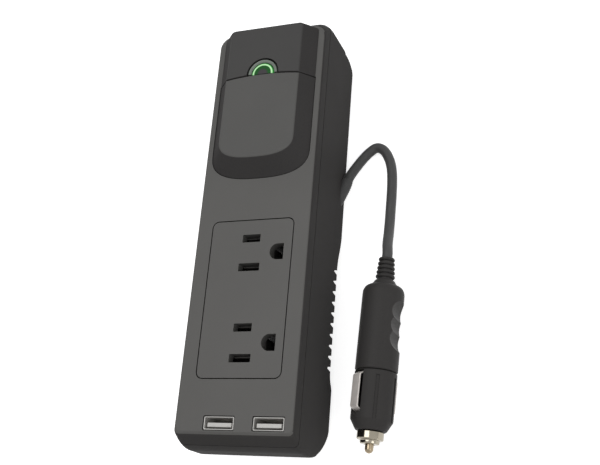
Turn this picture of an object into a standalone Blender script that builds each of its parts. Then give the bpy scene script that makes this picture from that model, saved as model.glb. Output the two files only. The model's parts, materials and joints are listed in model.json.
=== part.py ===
"""Power inverter with two outlets, two USB ports and a lead with a 12 V plug, lying on its back.

Sizes are in millimetres and become metres where a mesh is made. X runs across the width, Y along the
length towards the raised cap, Z up out of the front face. The back lies on Z = 0.
"""

import math

import bmesh
import bpy
from mathutils import Matrix, Vector

MM = 0.001
FLATNESS = math.radians(0.05)

# Clearances
GAP = 0.3
SEAM = 0.5
SLIDE_GAP = 0.35

# Housing
BODY_LENGTH = 193.0
BODY_WIDTH = 52.0
BODY_DEPTH = 44.0
WALL = 2.2
TOP_CORNER_RADIUS = 5.5
BOTTOM_CORNER_RADIUS = 2.2
CORNER_RADIUS_LEAST = 1.0
FRONT_EDGE_ROUND = 1.2
COVER_DEPTH = 6.0
TOP_SETBACK = 6.0
TOP_DOME_DEPTH = 12.0
BOTTOM_SETBACK = 5.0
BOTTOM_DOME_DEPTH = 13.0
TOP_REAR_LENGTH = 9.5
TOP_REAR_HEIGHT = 12.0
BOTTOM_REAR_ROUND = 22.0
REAR_EDGE_ROUND = 4.0
CREASE_HEIGHT = 16.0
CREASE_STEP = 0.5

# Finger grip and its louvres along the back
GRIP_DEPTH = 6.4
GRIP_END_INSET = 35.0
GRIP_FLOOR_LENGTH = 52.0
GRIP_LOWER_RAMP = 8.0
GRIP_UPPER_RAMP = 23.0
GRIP_WALL = 5.6
LOUVRE_COUNT = 10
LOUVRE_PITCH = 4.84
LOUVRE_WIDTH = 2.8
LOUVRE_ROOT_WIDTH = 0.7
LOUVRE_DEPTH = 2.0
LOUVRE_EDGE_DEPTH = 4.4
LOUVRE_EDGE_REACH = 6.0
VENT_LENGTH = 30.0
VENT_WIDTH = 1.5

# Raised cap, made of the button and the crown
CAP_SIDE_MARGIN = 3.2
CAP_SIDE_SLOPE = 5.5
CAP_HEIGHT = 6.3
CAP_END_INSET = 7.0
CROWN_LENGTH = 25.4
CAP_PANEL_GAP = 19.7
CAP_FOOT_SLOPE = 7.4
CAP_FOOT_ROUND = 12.5
CAP_FACE_ROUND = 9.0
CAP_ROUND_POWER = 2.7
CAP_WALL = 2.0
BUTTON_TRAVEL = 1.2
BUTTON_SKIRT = 4.4
BUTTON_HOOK_LENGTH = 1.6
BUTTON_HOOK_WIDTH = 16.0
BUTTON_HOOK_HEIGHT = 1.6
CROWN_PLUG_WIDTH = 22.0
CROWN_PLUG_LENGTH = 14.0

# Status arch on the seam
ARCH_RADIUS = 7.3
ARCH_RIM = 1.8
ARCH_DEPTH = 3.4
LIGHT_HOLE_RADIUS = 2.4
LIGHT_HOLE_OFFSET = 3.2

# Outlets
PANEL_WIDTH = 36.9
PANEL_LENGTH = 67.4
PANEL_RADIUS = 2.6
PANEL_END_INSET = 27.3
PANEL_FLANGE = 1.5
PANEL_FLANGE_HEIGHT = 1.9
OUTLET_PITCH = 38.6
BLADE_SPACING = 12.7
BLADE_SLOT_WIDTH = 3.45
HOT_SLOT_LENGTH = 8.1
NEUTRAL_SLOT_LENGTH = 9.5
GROUND_OFFSET = 11.9
GROUND_WIDTH = 6.2
GROUND_HEIGHT = 7.0
CONTACT_HEIGHT = 10.6
CONTACT_METAL = 0.6
CONTACT_BLADE_GAP = 2.0
CONTACT_PIN_GAP = 5.6
CONTACT_PIN_LENGTH = 6.0
PANEL_POST_RADIUS = 2.0
PANEL_POST_INSET = 3.6

# USB ports
USB_WIDTH = 13.1
USB_HEIGHT = 5.3
USB_DEPTH = 13.8
USB_SHEET = 0.45
USB_PITCH = 21.4
USB_SIDE_INSET = 10.9
USB_END_INSET = 9.3
USB_TONGUE_THICK = 1.7
USB_TONGUE_RISE = 0.5
USB_TONGUE_SIDE_INSET = 0.5
USB_TONGUE_BASE = 2.4
USB_BOARD_WIDTH = 8.4
USB_BOARD_SIDE_MARGIN = 3.0

# Boards, posts and screws
BOARD_THICK = 1.6
MAIN_BOARD_SIDE_GAP = 5.0
MAIN_BOARD_LENGTH = 46.0
MAIN_BOARD_END_INSET = 19.5
MAIN_BOARD_HEIGHT = 7.0
INDICATOR_BOARD_WIDTH = 38.0
INDICATOR_BOARD_MARGIN = 9.9
INDICATOR_BOARD_DROP = 11.0
POST_RADIUS = 2.2
POST_INSET = 4.0
SCREW_SIDE_INSET = 6.0
SCREW_TOP_INSET = 14.5
SCREW_BOTTOM_INSET = 18.0
SCREW_BOSS_RADIUS = 4.2
SCREW_RADIUS = 1.3
SCREW_HEAD_RADIUS = 2.6
SCREW_HEAD_HEIGHT = 1.8
SCREW_SINK = 3.0
COVER_POST_RADIUS = 3.2

# Button switch, springs and lamp
SWITCH_SIZE = 8.0
SWITCH_HEIGHT = 6.6
PLUNGER_SIZE = 4.0
PLUNGER_SOCKET = 4.6
PLUNGER_STAND = 4.2
BUTTON_POST_RADIUS = 3.0
BUTTON_SPRING_INSET = 5.3
BUTTON_SPRING_RADIUS = 2.8
BUTTON_SPRING_WIRE = 0.7
BUTTON_SPRING_TURNS = 6
LED_RADIUS = 1.5
LED_HEIGHT = 4.6
LED_FLANGE = 1.0

# Power stage
CORE_LENGTH = 24.0
CORE_HEIGHT = 18.0
CORE_LEG = 7.0
CORE_WINDOW = 4.6
CORE_YOKE = 3.0
WINDING_BUILD = 4.0
HEAT_SINK_WIDTH = 5.0
HEAT_SINK_BASE = 1.8
HEAT_SINK_HEIGHT = 18.0
HEAT_SINK_LENGTH = 34.0
HEAT_SINK_FINS = 6
HEAT_SINK_EDGE = 0.8
TRANSISTOR_WIDTH = 10.0
TRANSISTOR_BODY = 4.4
TRANSISTOR_TAB = 1.3
TRANSISTOR_BODY_HEIGHT = 9.0
TRANSISTOR_TAB_HEIGHT = 5.5
TRANSISTOR_PITCH = 15.0
TRANSISTOR_CLEARANCE = 1.3
CAPACITOR_RADIUS = 4.7
CAPACITOR_HEIGHT = 16.0
CAPACITOR_X = 5.4
CAPACITOR_CRIMP = 0.5
CAPACITOR_CRIMP_START = 1.2
CHOKE_RADIUS = 3.0
CHOKE_WIRE = 1.5

# Fan
FAN_SIZE = 40.0
FAN_THICK = 10.0
FAN_BORE_RADIUS = 18.4
FAN_ROTOR_GAP = 1.0
FAN_HUB_RADIUS = 8.6
FAN_BASE = 2.0
FAN_ARM_WIDTH = 2.4
FAN_SHAFT_RADIUS = 1.2
FAN_BLADES = 5
FAN_BLADE_THICK = 1.1
FAN_BLADE_PITCH = 38.0

# Lead
CORD_DIAMETER = 4.6
CORD_POINT_SPACING = 10.0
CORD_EXIT_INSET = 69.6
CORD_EXIT_HEIGHT = 6.2
CORD_EXIT_ANGLE = 66.0
GLAND_INSIDE = 15.0
GLAND_OUTSIDE = 4.2
GLAND_ROOT_RADIUS = 2.9
GLAND_TIP_RADIUS = 2.55
# Points of the route across and along from the exit, and up from the floor
CORD_ROUTE = [
    (3.5, 8.8, 4.6),
    (4.6, 11.6, 3.4),
    (6.1, 14.4, 2.7),
    (8.2, 17.1, 2.4),
    (10.7, 19.3, 2.4),
    (13.4, 20.6, 2.4),
    (15.9, 20.2, 2.4),
    (17.9, 18.3, 2.4),
    (19.5, 15.4, 2.4),
    (20.6, 12.0, 2.4),
    (21.3, 8.1, 2.4),
    (21.6, 3.9, 2.4),
    (21.7, -2.4, 2.4),
    (21.6, -9.0, 2.4),
    (21.6, -16.5, 2.9),
    (22.0, -23.4, 5.1),
    (22.6, -29.4, 8.0),
]

# Plug on the lead: its boot's end from the cord's exit, then sizes along its axis from there
PLUG_ACROSS = 23.1
PLUG_ALONG = -36.3
PLUG_TURN = 2.55
PLUG_FLOOR_GAP = 0.1
BOOT_LENGTH = 12.4
BOOT_TIP_RADIUS = 3.5
BOOT_ROOT_RADIUS = 5.6
BOOT_RINGS = 4
BOOT_RING_PITCH = 2.1
BOOT_RING_HEIGHT = 0.95
BOOT_RING_SHARE = 0.62
HANDLE_RADIUS = 9.0
HANDLE_LENGTH = 37.1
HANDLE_SHOULDER = 3.6
HANDLE_TOP_RADIUS = 6.2
FINGER_COUNT = 3
FINGER_PITCH = 5.9
FINGER_START = 8.8
FINGER_DEPTH = 2.6
FINGER_RADIUS = 6.0
FINGER_ANGLE = 0.0
BARREL_RADIUS = 8.9
BARREL_LENGTH = 20.2
BARREL_TAPER = 4.0
BARREL_NOSE_RADIUS = 6.4
BARREL_NECK_RADIUS = 5.0
BARREL_NECK_LENGTH = 13.5
BARREL_BORE_RADIUS = 3.4
BARREL_FLUTES = 6
FLUTE_WIDTH = 1.5
FLUTE_DEPTH = 0.5
LEAF_LENGTH = 16.4
LEAF_WIDTH = 4.8
LEAF_THICK = 0.7
LEAF_RISE = 0.95
LEAF_ANGLE = 127.0
LEAF_TRAVEL = 1.2
LEAF_RAMP = 1.7
LEAF_ROOT_DEPTH = 1.5
LEAF_BACK_GAP = 0.5
NOSE_RADIUS = 5.6
NOSE_LENGTH = 3.5
NOSE_STEP_RADIUS = 4.1
NOSE_STEP_LENGTH = 1.6
NOSE_LIP = 2.0
TIP_RADIUS = 1.8
TIP_STAND = 3.6
TIP_FLANGE_RADIUS = 3.0
TIP_FLANGE_LENGTH = 2.0
FUSE_RADIUS = 2.6
FUSE_LENGTH = 20.0
FUSE_CAP_LENGTH = 5.0
TIP_SPRING_RADIUS = 2.2
TIP_SPRING_WIRE = 0.6
TIP_SPRING_TURNS = 5

# Places worked out from the driving dimensions
HALF_WIDTH = BODY_WIDTH / 2
HALF_LENGTH = BODY_LENGTH / 2
COVER_BACK = BODY_DEPTH - COVER_DEPTH
RIM = COVER_BACK - SEAM
PLATE_BACK = BODY_DEPTH - WALL
PANEL_Y = -HALF_LENGTH + PANEL_END_INSET + PANEL_LENGTH / 2
CAP_TOP = BODY_DEPTH + CAP_HEIGHT
CAP_WIDTH = BODY_WIDTH - 2 * CAP_SIDE_MARGIN
CAP_TOP_WIDTH = CAP_WIDTH - 2 * CAP_SIDE_SLOPE
CAP_END_Y = HALF_LENGTH - CAP_END_INSET
CAP_SEAM_Y = CAP_END_Y - CROWN_LENGTH
CAP_FOOT_Y = PANEL_Y + PANEL_LENGTH / 2 + CAP_PANEL_GAP
CAP_FACE_Y = CAP_FOOT_Y + CAP_FOOT_SLOPE
BUTTON_BACK = BODY_DEPTH - BUTTON_SKIRT
GRIP_FLOOR = GRIP_DEPTH + GRIP_WALL
GRIP_FLOOR_START = -HALF_LENGTH + GRIP_END_INSET
GRIP_FLOOR_END = GRIP_FLOOR_START + GRIP_FLOOR_LENGTH
GRIP_MIDDLE = (GRIP_FLOOR_START + GRIP_FLOOR_END) / 2
MAIN_BOARD_WIDTH = BODY_WIDTH - 2 * MAIN_BOARD_SIDE_GAP
MAIN_BOARD_END = HALF_LENGTH - MAIN_BOARD_END_INSET
MAIN_BOARD_START = MAIN_BOARD_END - MAIN_BOARD_LENGTH
MAIN_BOARD_TOP = MAIN_BOARD_HEIGHT + BOARD_THICK
PART_SEAT = MAIN_BOARD_TOP + GAP
MAIN_BOARD_MIDDLE = (MAIN_BOARD_START + MAIN_BOARD_END) / 2
POWER_ROW_WIDTH = HEAT_SINK_WIDTH + GAP + TRANSISTOR_BODY + TRANSISTOR_CLEARANCE
CORE_THICK = MAIN_BOARD_WIDTH - 2 * (POWER_ROW_WIDTH + WINDING_BUILD)
INDICATOR_BOARD_START = CAP_FOOT_Y - INDICATOR_BOARD_MARGIN
INDICATOR_TOP = BODY_DEPTH - INDICATOR_BOARD_DROP
INDICATOR_SEAT = INDICATOR_TOP + GAP
USB_Y = -HALF_LENGTH + USB_END_INSET
USB_RIGHT_X = HALF_WIDTH - USB_SIDE_INSET
USB_LEFT_X = USB_RIGHT_X - USB_PITCH
USB_FRONT = BODY_DEPTH - GAP
USB_BACK = USB_FRONT - USB_DEPTH
USB_BOARD_TOP = USB_BACK - GAP
CONTACT_TOP = BODY_DEPTH - WALL - PANEL_FLANGE_HEIGHT - GAP
CONTACT_BACK = CONTACT_TOP - CONTACT_HEIGHT
OUTLET_BOARD_TOP = CONTACT_BACK - GAP
BUTTON_MIDDLE = (CAP_FACE_Y + CAP_SEAM_Y) / 2
BUTTON_SPRING_X = CAP_TOP_WIDTH / 2 - BUTTON_SPRING_INSET
CORD_EXIT_Y = HALF_LENGTH - CORD_EXIT_INSET
PLUG_X = HALF_WIDTH + PLUG_ACROSS
PLUG_Y = CORD_EXIT_Y + PLUG_ALONG
LEAF_DROP = ((BARREL_RADIUS + LEAF_RISE) * math.sin(math.radians(LEAF_ANGLE))
             + LEAF_WIDTH / 2 * abs(math.cos(math.radians(LEAF_ANGLE))))
PLUG_HEIGHT = max(HANDLE_RADIUS, LEAF_DROP) + PLUG_FLOOR_GAP
HANDLE_START = BOOT_LENGTH + GAP
HANDLE_END = HANDLE_START + HANDLE_LENGTH
BARREL_START = HANDLE_END + GAP
BARREL_END = BARREL_START + BARREL_LENGTH + BARREL_TAPER
NOSE_START = BARREL_END + GAP
NOSE_END = NOSE_START + NOSE_LENGTH + NOSE_STEP_LENGTH
SCREW_X = HALF_WIDTH - SCREW_SIDE_INSET
SCREW_PLACES = [
    (-SCREW_X, HALF_LENGTH - SCREW_TOP_INSET),
    (SCREW_X, HALF_LENGTH - SCREW_TOP_INSET),
    (-SCREW_X, -HALF_LENGTH + SCREW_BOTTOM_INSET),
    (SCREW_X, -HALF_LENGTH + SCREW_BOTTOM_INSET),
]

# Colours as (red, green, blue, roughness, metallic)
FRONT_PLASTIC = (0.115, 0.115, 0.11, 0.5, 0.0)
REAR_PLASTIC = (0.05, 0.047, 0.046, 0.5, 0.0)
CROWN_PLASTIC = (0.085, 0.083, 0.08, 0.45, 0.0)
RIM_GREY = (0.2, 0.2, 0.2, 0.4, 0.0)
GREEN_LENS = (0.1, 0.6, 0.16, 0.3, 0.0)
BRIGHT_METAL = (0.72, 0.72, 0.7, 0.25, 1.0)
BRASS = (0.72, 0.55, 0.25, 0.35, 1.0)
PALE_PLASTIC = (0.82, 0.82, 0.8, 0.5, 0.0)
BOARD_GREEN = (0.04, 0.2, 0.09, 0.6, 0.0)
DARK_PLASTIC = (0.02, 0.02, 0.02, 0.5, 0.0)
CORE_GREY = (0.09, 0.09, 0.09, 0.7, 0.0)
WINDING_TAPE = (0.75, 0.6, 0.12, 0.5, 0.0)
ALUMINIUM = (0.66, 0.67, 0.68, 0.4, 1.0)
CAN_BLUE = (0.04, 0.07, 0.2, 0.4, 0.0)
COPPER = (0.72, 0.38, 0.2, 0.35, 1.0)
CORD_RUBBER = (0.065, 0.065, 0.065, 0.6, 0.0)
PLUG_PLASTIC = (0.045, 0.041, 0.043, 0.45, 0.0)
FUSE_GLASS = (0.8, 0.85, 0.85, 0.1, 0.0)


def clear_scene():
    for item in list(bpy.data.objects):
        bpy.data.objects.remove(item, do_unlink=True)


def material_for(name, look):
    """Principled material of one piece."""
    red, green, blue, roughness, metallic = look
    material = bpy.data.materials.new(name)
    material.use_nodes = True
    shader = material.node_tree.nodes["Principled BSDF"]
    shader.inputs["Base Color"].default_value = (red, green, blue, 1.0)
    shader.inputs["Roughness"].default_value = roughness
    shader.inputs["Metallic"].default_value = metallic
    return material


def rings_mesh(name, bodies):
    """Mesh of one or more closed bodies, each a list of rings joined in turn and capped at both ends.

    A body given as (rings, True) closes on its first ring instead, as a hoop does.
    """
    shape = bmesh.new()
    for rings, hoop in bodies:
        loops = [[shape.verts.new(Vector(point) * MM) for point in ring] for ring in rings]
        pairs = list(zip(loops, loops[1:]))
        if hoop:
            pairs.append((loops[-1], loops[0]))
        else:
            shape.faces.new(loops[0])
            shape.faces.new(loops[-1])
        for lower, upper in pairs:
            for here in range(len(lower)):
                after = (here + 1) % len(lower)
                shape.faces.new((lower[here], lower[after], upper[after], upper[here]))
    bmesh.ops.connect_verts_nonplanar(shape, angle_limit=FLATNESS, faces=shape.faces)
    bmesh.ops.recalc_face_normals(shape, faces=shape.faces)
    mesh = bpy.data.meshes.new(name)
    shape.to_mesh(mesh)
    shape.free()
    return mesh


def add_piece(name, bodies, look, smooth=False, origin=None):
    """Named piece from rings, with its origin moved to a point where one is given."""
    mesh = rings_mesh(name, bodies)
    piece = bpy.data.objects.new(name, mesh)
    bpy.context.scene.collection.objects.link(piece)
    mesh.materials.append(material_for(name, look))
    if smooth:
        mesh.shade_smooth()
        mesh.set_sharp_from_angle(angle=math.radians(35))
    if origin is not None:
        set_origin(piece, origin)
    return piece


def set_origin(piece, origin):
    point = Vector(origin) * MM
    piece.data.transform(Matrix.Translation(-point))
    piece.location = point


def add_tool(name, bodies):
    """Hidden shape that cuts or joins another."""
    tool = bpy.data.objects.new(name, rings_mesh(name, bodies))
    bpy.context.scene.collection.objects.link(tool)
    tool.hide_render = True
    tool.display_type = "WIRE"
    return tool


def combine(piece, operation, name, bodies, parent=None):
    """Boolean of a piece with a hidden tool made from rings."""
    tool = add_tool(name, bodies)
    tool.parent = parent
    modifier = piece.modifiers.new(name, "BOOLEAN")
    modifier.operation = operation
    modifier.solver = "EXACT"
    modifier.object = tool
    return tool


def cut(piece, name, bodies, parent=None):
    return combine(piece, "DIFFERENCE", name, bodies, parent)


def fuse(piece, name, bodies, parent=None):
    return combine(piece, "UNION", name, bodies, parent)


def arc_points(centre, radius, start, end, steps):
    """Points along an arc, in degrees, both ends included."""
    points = []
    for step in range(steps + 1):
        angle = math.radians(start + (end - start) * step / steps)
        points.append((centre[0] + radius * math.cos(angle), centre[1] + radius * math.sin(angle)))
    return points


def rounded_outline(left, right, bottom, top, radius, bottom_radius=None, steps=5):
    """Rounded rectangle, anticlockwise from its lower right corner, with its own radius below if given."""
    points = []
    low_radius = radius if bottom_radius is None else bottom_radius
    corners = [(right, bottom, 270), (right, top, 0), (left, top, 90), (left, bottom, 180)]
    for x, y, start in corners:
        turn = radius if y == top else low_radius
        centre_x = x - turn if x == right else x + turn
        centre_y = y - turn if y == top else y + turn
        points += arc_points((centre_x, centre_y), turn, start, start + 90, steps)
    return points


def at_height(outline, height):
    return [(x, y, height) for x, y in outline]


def prism(outline, low, high):
    """Body that stands on an outline in X and Y."""
    return [at_height(outline, low), at_height(outline, high)], False


def block(centre_x, centre_y, width, length, low, high):
    """Box given by its middle, its sizes and its heights."""
    left, right = centre_x - width / 2, centre_x + width / 2
    bottom, top = centre_y - length / 2, centre_y + length / 2
    return prism([(left, bottom), (right, bottom), (right, top), (left, top)], low, high)


def across(profile, left, right):
    """Body with one profile in Y and Z all across X."""
    return [[(x, y, z) for y, z in profile] for x in (left, right)], False


def along(profile, start, end):
    """Body with one profile in X and Z all along Y."""
    return [[(x, y, z) for x, z in profile] for y in (start, end)], False


def circle(radius, segments, centre=(0.0, 0.0), phase=0.0):
    points = []
    for step in range(segments):
        angle = math.tau * step / segments + phase
        points.append((centre[0] + radius * math.cos(angle), centre[1] + radius * math.sin(angle)))
    return points


def turned(profile, segments=24, centre=(0.0, 0.0), hoop=False):
    """Body turned about Z from a profile of (radius, height) points."""
    return [at_height(circle(radius, segments, centre), height) for radius, height in profile], hoop


def post(centre, radius, low, high, segments=16):
    return turned([(radius, low), (radius, high)], segments, centre)


def moved(body, shift):
    """Body shifted by a vector."""
    rings, hoop = body
    return [[tuple(Vector(point) + Vector(shift)) for point in ring] for ring in rings], hoop


def turned_by(body, matrix):
    """Body turned or placed by a matrix."""
    rings, hoop = body
    return [[tuple(matrix @ Vector(point)) for point in ring] for ring in rings], hoop


def quarter_round(distance, reach, setback):
    """How far an elliptical rounding draws in at a distance from where it starts at its deepest."""
    if distance >= reach:
        return 0.0
    return setback * (1 - math.sqrt(1 - (1 - distance / reach) ** 2))


def dome(depth, reach, setback):
    """How far a shallow domed end lies behind its widest place."""
    if depth >= reach:
        return 0.0
    return setback * (1 - depth / reach) ** 2


def body_outline(height, inset=0.0):
    """Outline of the housing at a height above its back, drawn in all round by an inset."""
    depth = BODY_DEPTH - height
    edge = quarter_round(depth, FRONT_EDGE_ROUND, FRONT_EDGE_ROUND) + inset
    crease = CREASE_STEP if height < CREASE_HEIGHT else 0.0
    side = HALF_WIDTH - edge - crease - quarter_round(height, REAR_EDGE_ROUND, REAR_EDGE_ROUND)
    top = HALF_LENGTH - edge - dome(depth, TOP_DOME_DEPTH, TOP_SETBACK)
    top -= quarter_round(height, TOP_REAR_HEIGHT, TOP_REAR_LENGTH)
    bottom = HALF_LENGTH - edge - dome(depth, BOTTOM_DOME_DEPTH, BOTTOM_SETBACK)
    bottom -= quarter_round(height, BOTTOM_REAR_ROUND, BOTTOM_REAR_ROUND)
    top_radius = max(TOP_CORNER_RADIUS - inset, CORNER_RADIUS_LEAST)
    bottom_radius = max(BOTTOM_CORNER_RADIUS - inset, CORNER_RADIUS_LEAST)
    return rounded_outline(-side, side, -bottom, top, top_radius, bottom_radius)


def body_loft(heights, inset=0.0):
    return [at_height(body_outline(height, inset), height) for height in heights], False


def rear_heights(low, high):
    """Heights where the housing's sections are drawn between two heights."""
    steps = 7
    heights = [BOTTOM_REAR_ROUND * (1 - math.cos(math.pi / 2 * step / steps)) for step in range(steps + 1)]
    heights += [CREASE_HEIGHT - SLIDE_GAP, CREASE_HEIGHT, BODY_DEPTH - TOP_DOME_DEPTH, low, high]
    return sorted({round(height, 4) for height in heights if low <= height <= high})


def grip_profile(extra=0.0):
    """Side profile of the hollow for the fingers, grown by an extra thickness."""
    floor = GRIP_DEPTH + extra
    below = -WALL
    lower_slope = GRIP_LOWER_RAMP / GRIP_DEPTH
    upper_slope = GRIP_UPPER_RAMP / GRIP_DEPTH
    return [
        (GRIP_FLOOR_START - (GRIP_DEPTH - below) * lower_slope - extra, below),
        (GRIP_FLOOR_END + (GRIP_DEPTH - below) * upper_slope + extra, below),
        (GRIP_FLOOR_END + extra, floor),
        (GRIP_FLOOR_START - extra, floor),
    ]


def louvre_body(middle):
    """One groove across the grip with flanks of one slope, deepest where it breaks out of both sides."""
    outer = HALF_WIDTH + WALL
    inner = HALF_WIDTH - LOUVRE_EDGE_REACH
    low = GRIP_DEPTH - WALL
    half = LOUVRE_WIDTH / 2
    slope = (half - LOUVRE_ROOT_WIDTH / 2) / (LOUVRE_EDGE_DEPTH + WALL)
    rings = []
    for x, depth in ((-outer, LOUVRE_EDGE_DEPTH), (-inner, LOUVRE_DEPTH), (inner, LOUVRE_DEPTH),
                     (outer, LOUVRE_EDGE_DEPTH)):
        root = half - slope * (depth + WALL)
        top = GRIP_DEPTH + depth
        rings.append([(x, middle - half, low), (x, middle + half, low), (x, middle + root, top),
                      (x, middle - root, top)])
    return rings, False


def gland_matrix():
    """Place of the cord gland: its own Z runs out along the cord."""
    lean = Matrix.Rotation(math.radians(-90), 4, "X")
    turn = Matrix.Rotation(math.radians(CORD_EXIT_ANGLE - 90), 4, "Z") @ lean
    return Matrix.Translation((HALF_WIDTH, CORD_EXIT_Y, CORD_EXIT_HEIGHT)) @ turn


def gland_body(grow=0.0):
    """Tapered strain relief, or the hole for it when grown."""
    return turned([
        (GLAND_ROOT_RADIUS + grow, -GLAND_INSIDE - grow),
        (GLAND_ROOT_RADIUS + grow, 0.0),
        (GLAND_TIP_RADIUS + grow, GLAND_OUTSIDE + grow),
    ], 20)


def make_rear_housing():
    housing = add_piece("rear_housing", [body_loft(rear_heights(0.0, RIM))], REAR_PLASTIC)
    cavity = cut(housing, "housing_cavity", [body_loft(rear_heights(WALL, RIM) + [RIM + WALL], WALL)])
    floor = add_tool("grip_floor", [across(grip_profile(GRIP_WALL), -BODY_WIDTH, BODY_WIDTH)])
    keep = cavity.modifiers.new("grip_floor", "BOOLEAN")
    keep.operation = "DIFFERENCE"
    keep.object = floor
    cut(housing, "finger_grip", [across(grip_profile(), -BODY_WIDTH, BODY_WIDTH)])
    middles = [GRIP_MIDDLE + (index - (LOUVRE_COUNT - 1) / 2) * LOUVRE_PITCH for index in range(LOUVRE_COUNT)]
    cut(housing, "louvres", [louvre_body(middle) for middle in middles])
    cut(housing, "vents", [
        block(0.0, middle, VENT_LENGTH, VENT_WIDTH, GRIP_DEPTH - WALL, GRIP_FLOOR + WALL)
        for middle in middles
    ])
    bosses = [post(place, SCREW_BOSS_RADIUS, WALL - GAP, RIM) for place in SCREW_PLACES]
    fuse(housing, "screw_bosses", bosses)
    board_posts = [
        post((x, y), POST_RADIUS, WALL - GAP, MAIN_BOARD_HEIGHT - GAP)
        for x in (-MAIN_BOARD_WIDTH / 2 + POST_INSET, MAIN_BOARD_WIDTH / 2 - POST_INSET)
        for y in (MAIN_BOARD_START + POST_INSET, MAIN_BOARD_END - POST_INSET)
    ]
    fuse(housing, "board_posts", board_posts)
    shank = SCREW_RADIUS + GAP
    head = SCREW_HEAD_RADIUS + GAP
    sink = SCREW_SINK + SCREW_HEAD_HEIGHT
    cut(housing, "screw_holes", [
        turned([(head, -WALL), (head, sink), (shank, sink), (shank, RIM + WALL)], 16, place)
        for place in SCREW_PLACES
    ])
    cut(housing, "gland_hole", [turned_by(gland_body(GAP), gland_matrix())])


def cap_outline(half_width, end_y, round_length, seam_y, grow=0.0):
    """Tongue shaped outline of the lower cap: square at the seam and rounded at its lower end."""
    steps = 20
    half = half_width + grow
    middle = end_y + round_length
    reach = round_length + grow
    points = []
    for step in range(steps + 1):
        angle = math.pi * step / steps
        x = math.copysign(abs(math.cos(angle)) ** (2 / CAP_ROUND_POWER), -math.cos(angle)) * half
        y = middle - abs(math.sin(angle)) ** (2 / CAP_ROUND_POWER) * reach
        points.append((x, y))
    return points + [(half, seam_y + grow), (-half, seam_y + grow)]


def make_front_cover():
    heights = [COVER_BACK, BODY_DEPTH - COVER_DEPTH / 2]
    heights += [BODY_DEPTH - FRONT_EDGE_ROUND * step for step in (1.0, 0.5, 0.2, 0.0)]
    cover = add_piece("front_cover", [body_loft(heights)], FRONT_PLASTIC)
    cut(cover, "cover_hollow", [body_loft([COVER_BACK - WALL, COVER_BACK, PLATE_BACK], WALL)])
    posts = [post(place, COVER_POST_RADIUS, COVER_BACK, PLATE_BACK + GAP) for place in SCREW_PLACES]
    for x in (-INDICATOR_BOARD_WIDTH / 2 + POST_INSET, INDICATOR_BOARD_WIDTH / 2 - POST_INSET):
        for y in (INDICATOR_BOARD_START + POST_INSET, MAIN_BOARD_END - POST_INSET):
            posts.append(post((x, y), POST_RADIUS, INDICATOR_SEAT, PLATE_BACK + GAP))
    usb_middle = (USB_LEFT_X + USB_RIGHT_X) / 2
    for x in (USB_LEFT_X - USB_WIDTH / 2 - USB_BOARD_SIDE_MARGIN, usb_middle):
        posts.append(post((x, USB_Y), POST_RADIUS, USB_BOARD_TOP + GAP, PLATE_BACK + GAP))
    fuse(cover, "cover_posts", posts)
    above = BODY_DEPTH + WALL
    below = COVER_BACK - WALL
    panel = panel_outline(SLIDE_GAP)
    ports = [
        block(x, USB_Y, USB_WIDTH + 2 * GAP, USB_HEIGHT + 2 * GAP, below, above)
        for x in (USB_LEFT_X, USB_RIGHT_X)
    ]
    button = cap_outline(CAP_WIDTH / 2, CAP_FOOT_Y, CAP_FOOT_ROUND, CAP_SEAM_Y - GAP / 2, SLIDE_GAP)
    cut(cover, "cover_openings", [
        prism(panel, below, above),
        prism(button, below, above),
        prism(crown_plug_outline(GAP), below, above),
    ] + ports)
    pilot = SCREW_RADIUS + GAP
    cut(cover, "screw_pilots", [
        post(place, pilot, COVER_BACK - WALL, PLATE_BACK) for place in SCREW_PLACES
    ])


def crown_plug_outline(grow=0.0):
    half = CROWN_PLUG_WIDTH / 2 + grow
    end = CAP_END_Y - CAP_END_INSET + grow
    start = CAP_END_Y - CAP_END_INSET - CROWN_PLUG_LENGTH - grow
    return [(-half, start), (half, start), (half, end), (-half, end)]


def make_indicator_crown():
    seam = CAP_SEAM_Y + GAP / 2
    half = CAP_WIDTH / 2
    foot = [(-half, seam), (half, seam), (half, CAP_END_Y), (-half, CAP_END_Y)]
    half = CAP_TOP_WIDTH / 2
    face = [(-half, seam), (half, seam), (half, CAP_END_Y), (-half, CAP_END_Y)]
    rest = BODY_DEPTH + GAP
    plug = crown_plug_outline()
    rings = [at_height(plug, PLATE_BACK - GAP), at_height(plug, rest), at_height(foot, rest)]
    rings.append(at_height(face, CAP_TOP))
    crown = add_piece("indicator_crown", [(rings, False)], CROWN_PLASTIC)
    arch = half_disc(ARCH_RADIUS + GAP)
    cut(crown, "arch_pocket", [prism([(x, y - WALL) if y <= seam else (x, y) for x, y in arch],
                                     CAP_TOP - ARCH_DEPTH - GAP, CAP_TOP + WALL)])
    light = (0.0, seam + LIGHT_HOLE_OFFSET)
    cut(crown, "light_hole", [post(light, LIGHT_HOLE_RADIUS, BODY_DEPTH - WALL, CAP_TOP)])
    pocket_half = CROWN_PLUG_WIDTH / 2 - CAP_WALL
    pocket_end = CAP_END_Y - CAP_END_INSET - CAP_WALL
    pocket_start = seam + ARCH_RADIUS + CAP_WALL
    cut(crown, "crown_pocket", [block(0.0, (pocket_start + pocket_end) / 2, 2 * pocket_half,
                                      pocket_end - pocket_start, PLATE_BACK - WALL, CAP_TOP - CAP_WALL)])


def half_disc(radius, hole=0.0):
    """Half disc, or half ring, that stands on the seam."""
    seam = CAP_SEAM_Y + GAP / 2
    points = arc_points((0.0, seam), radius, 0, 180, 16)
    if hole:
        points += arc_points((0.0, seam), hole, 180, 0, 16)
    return points


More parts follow.
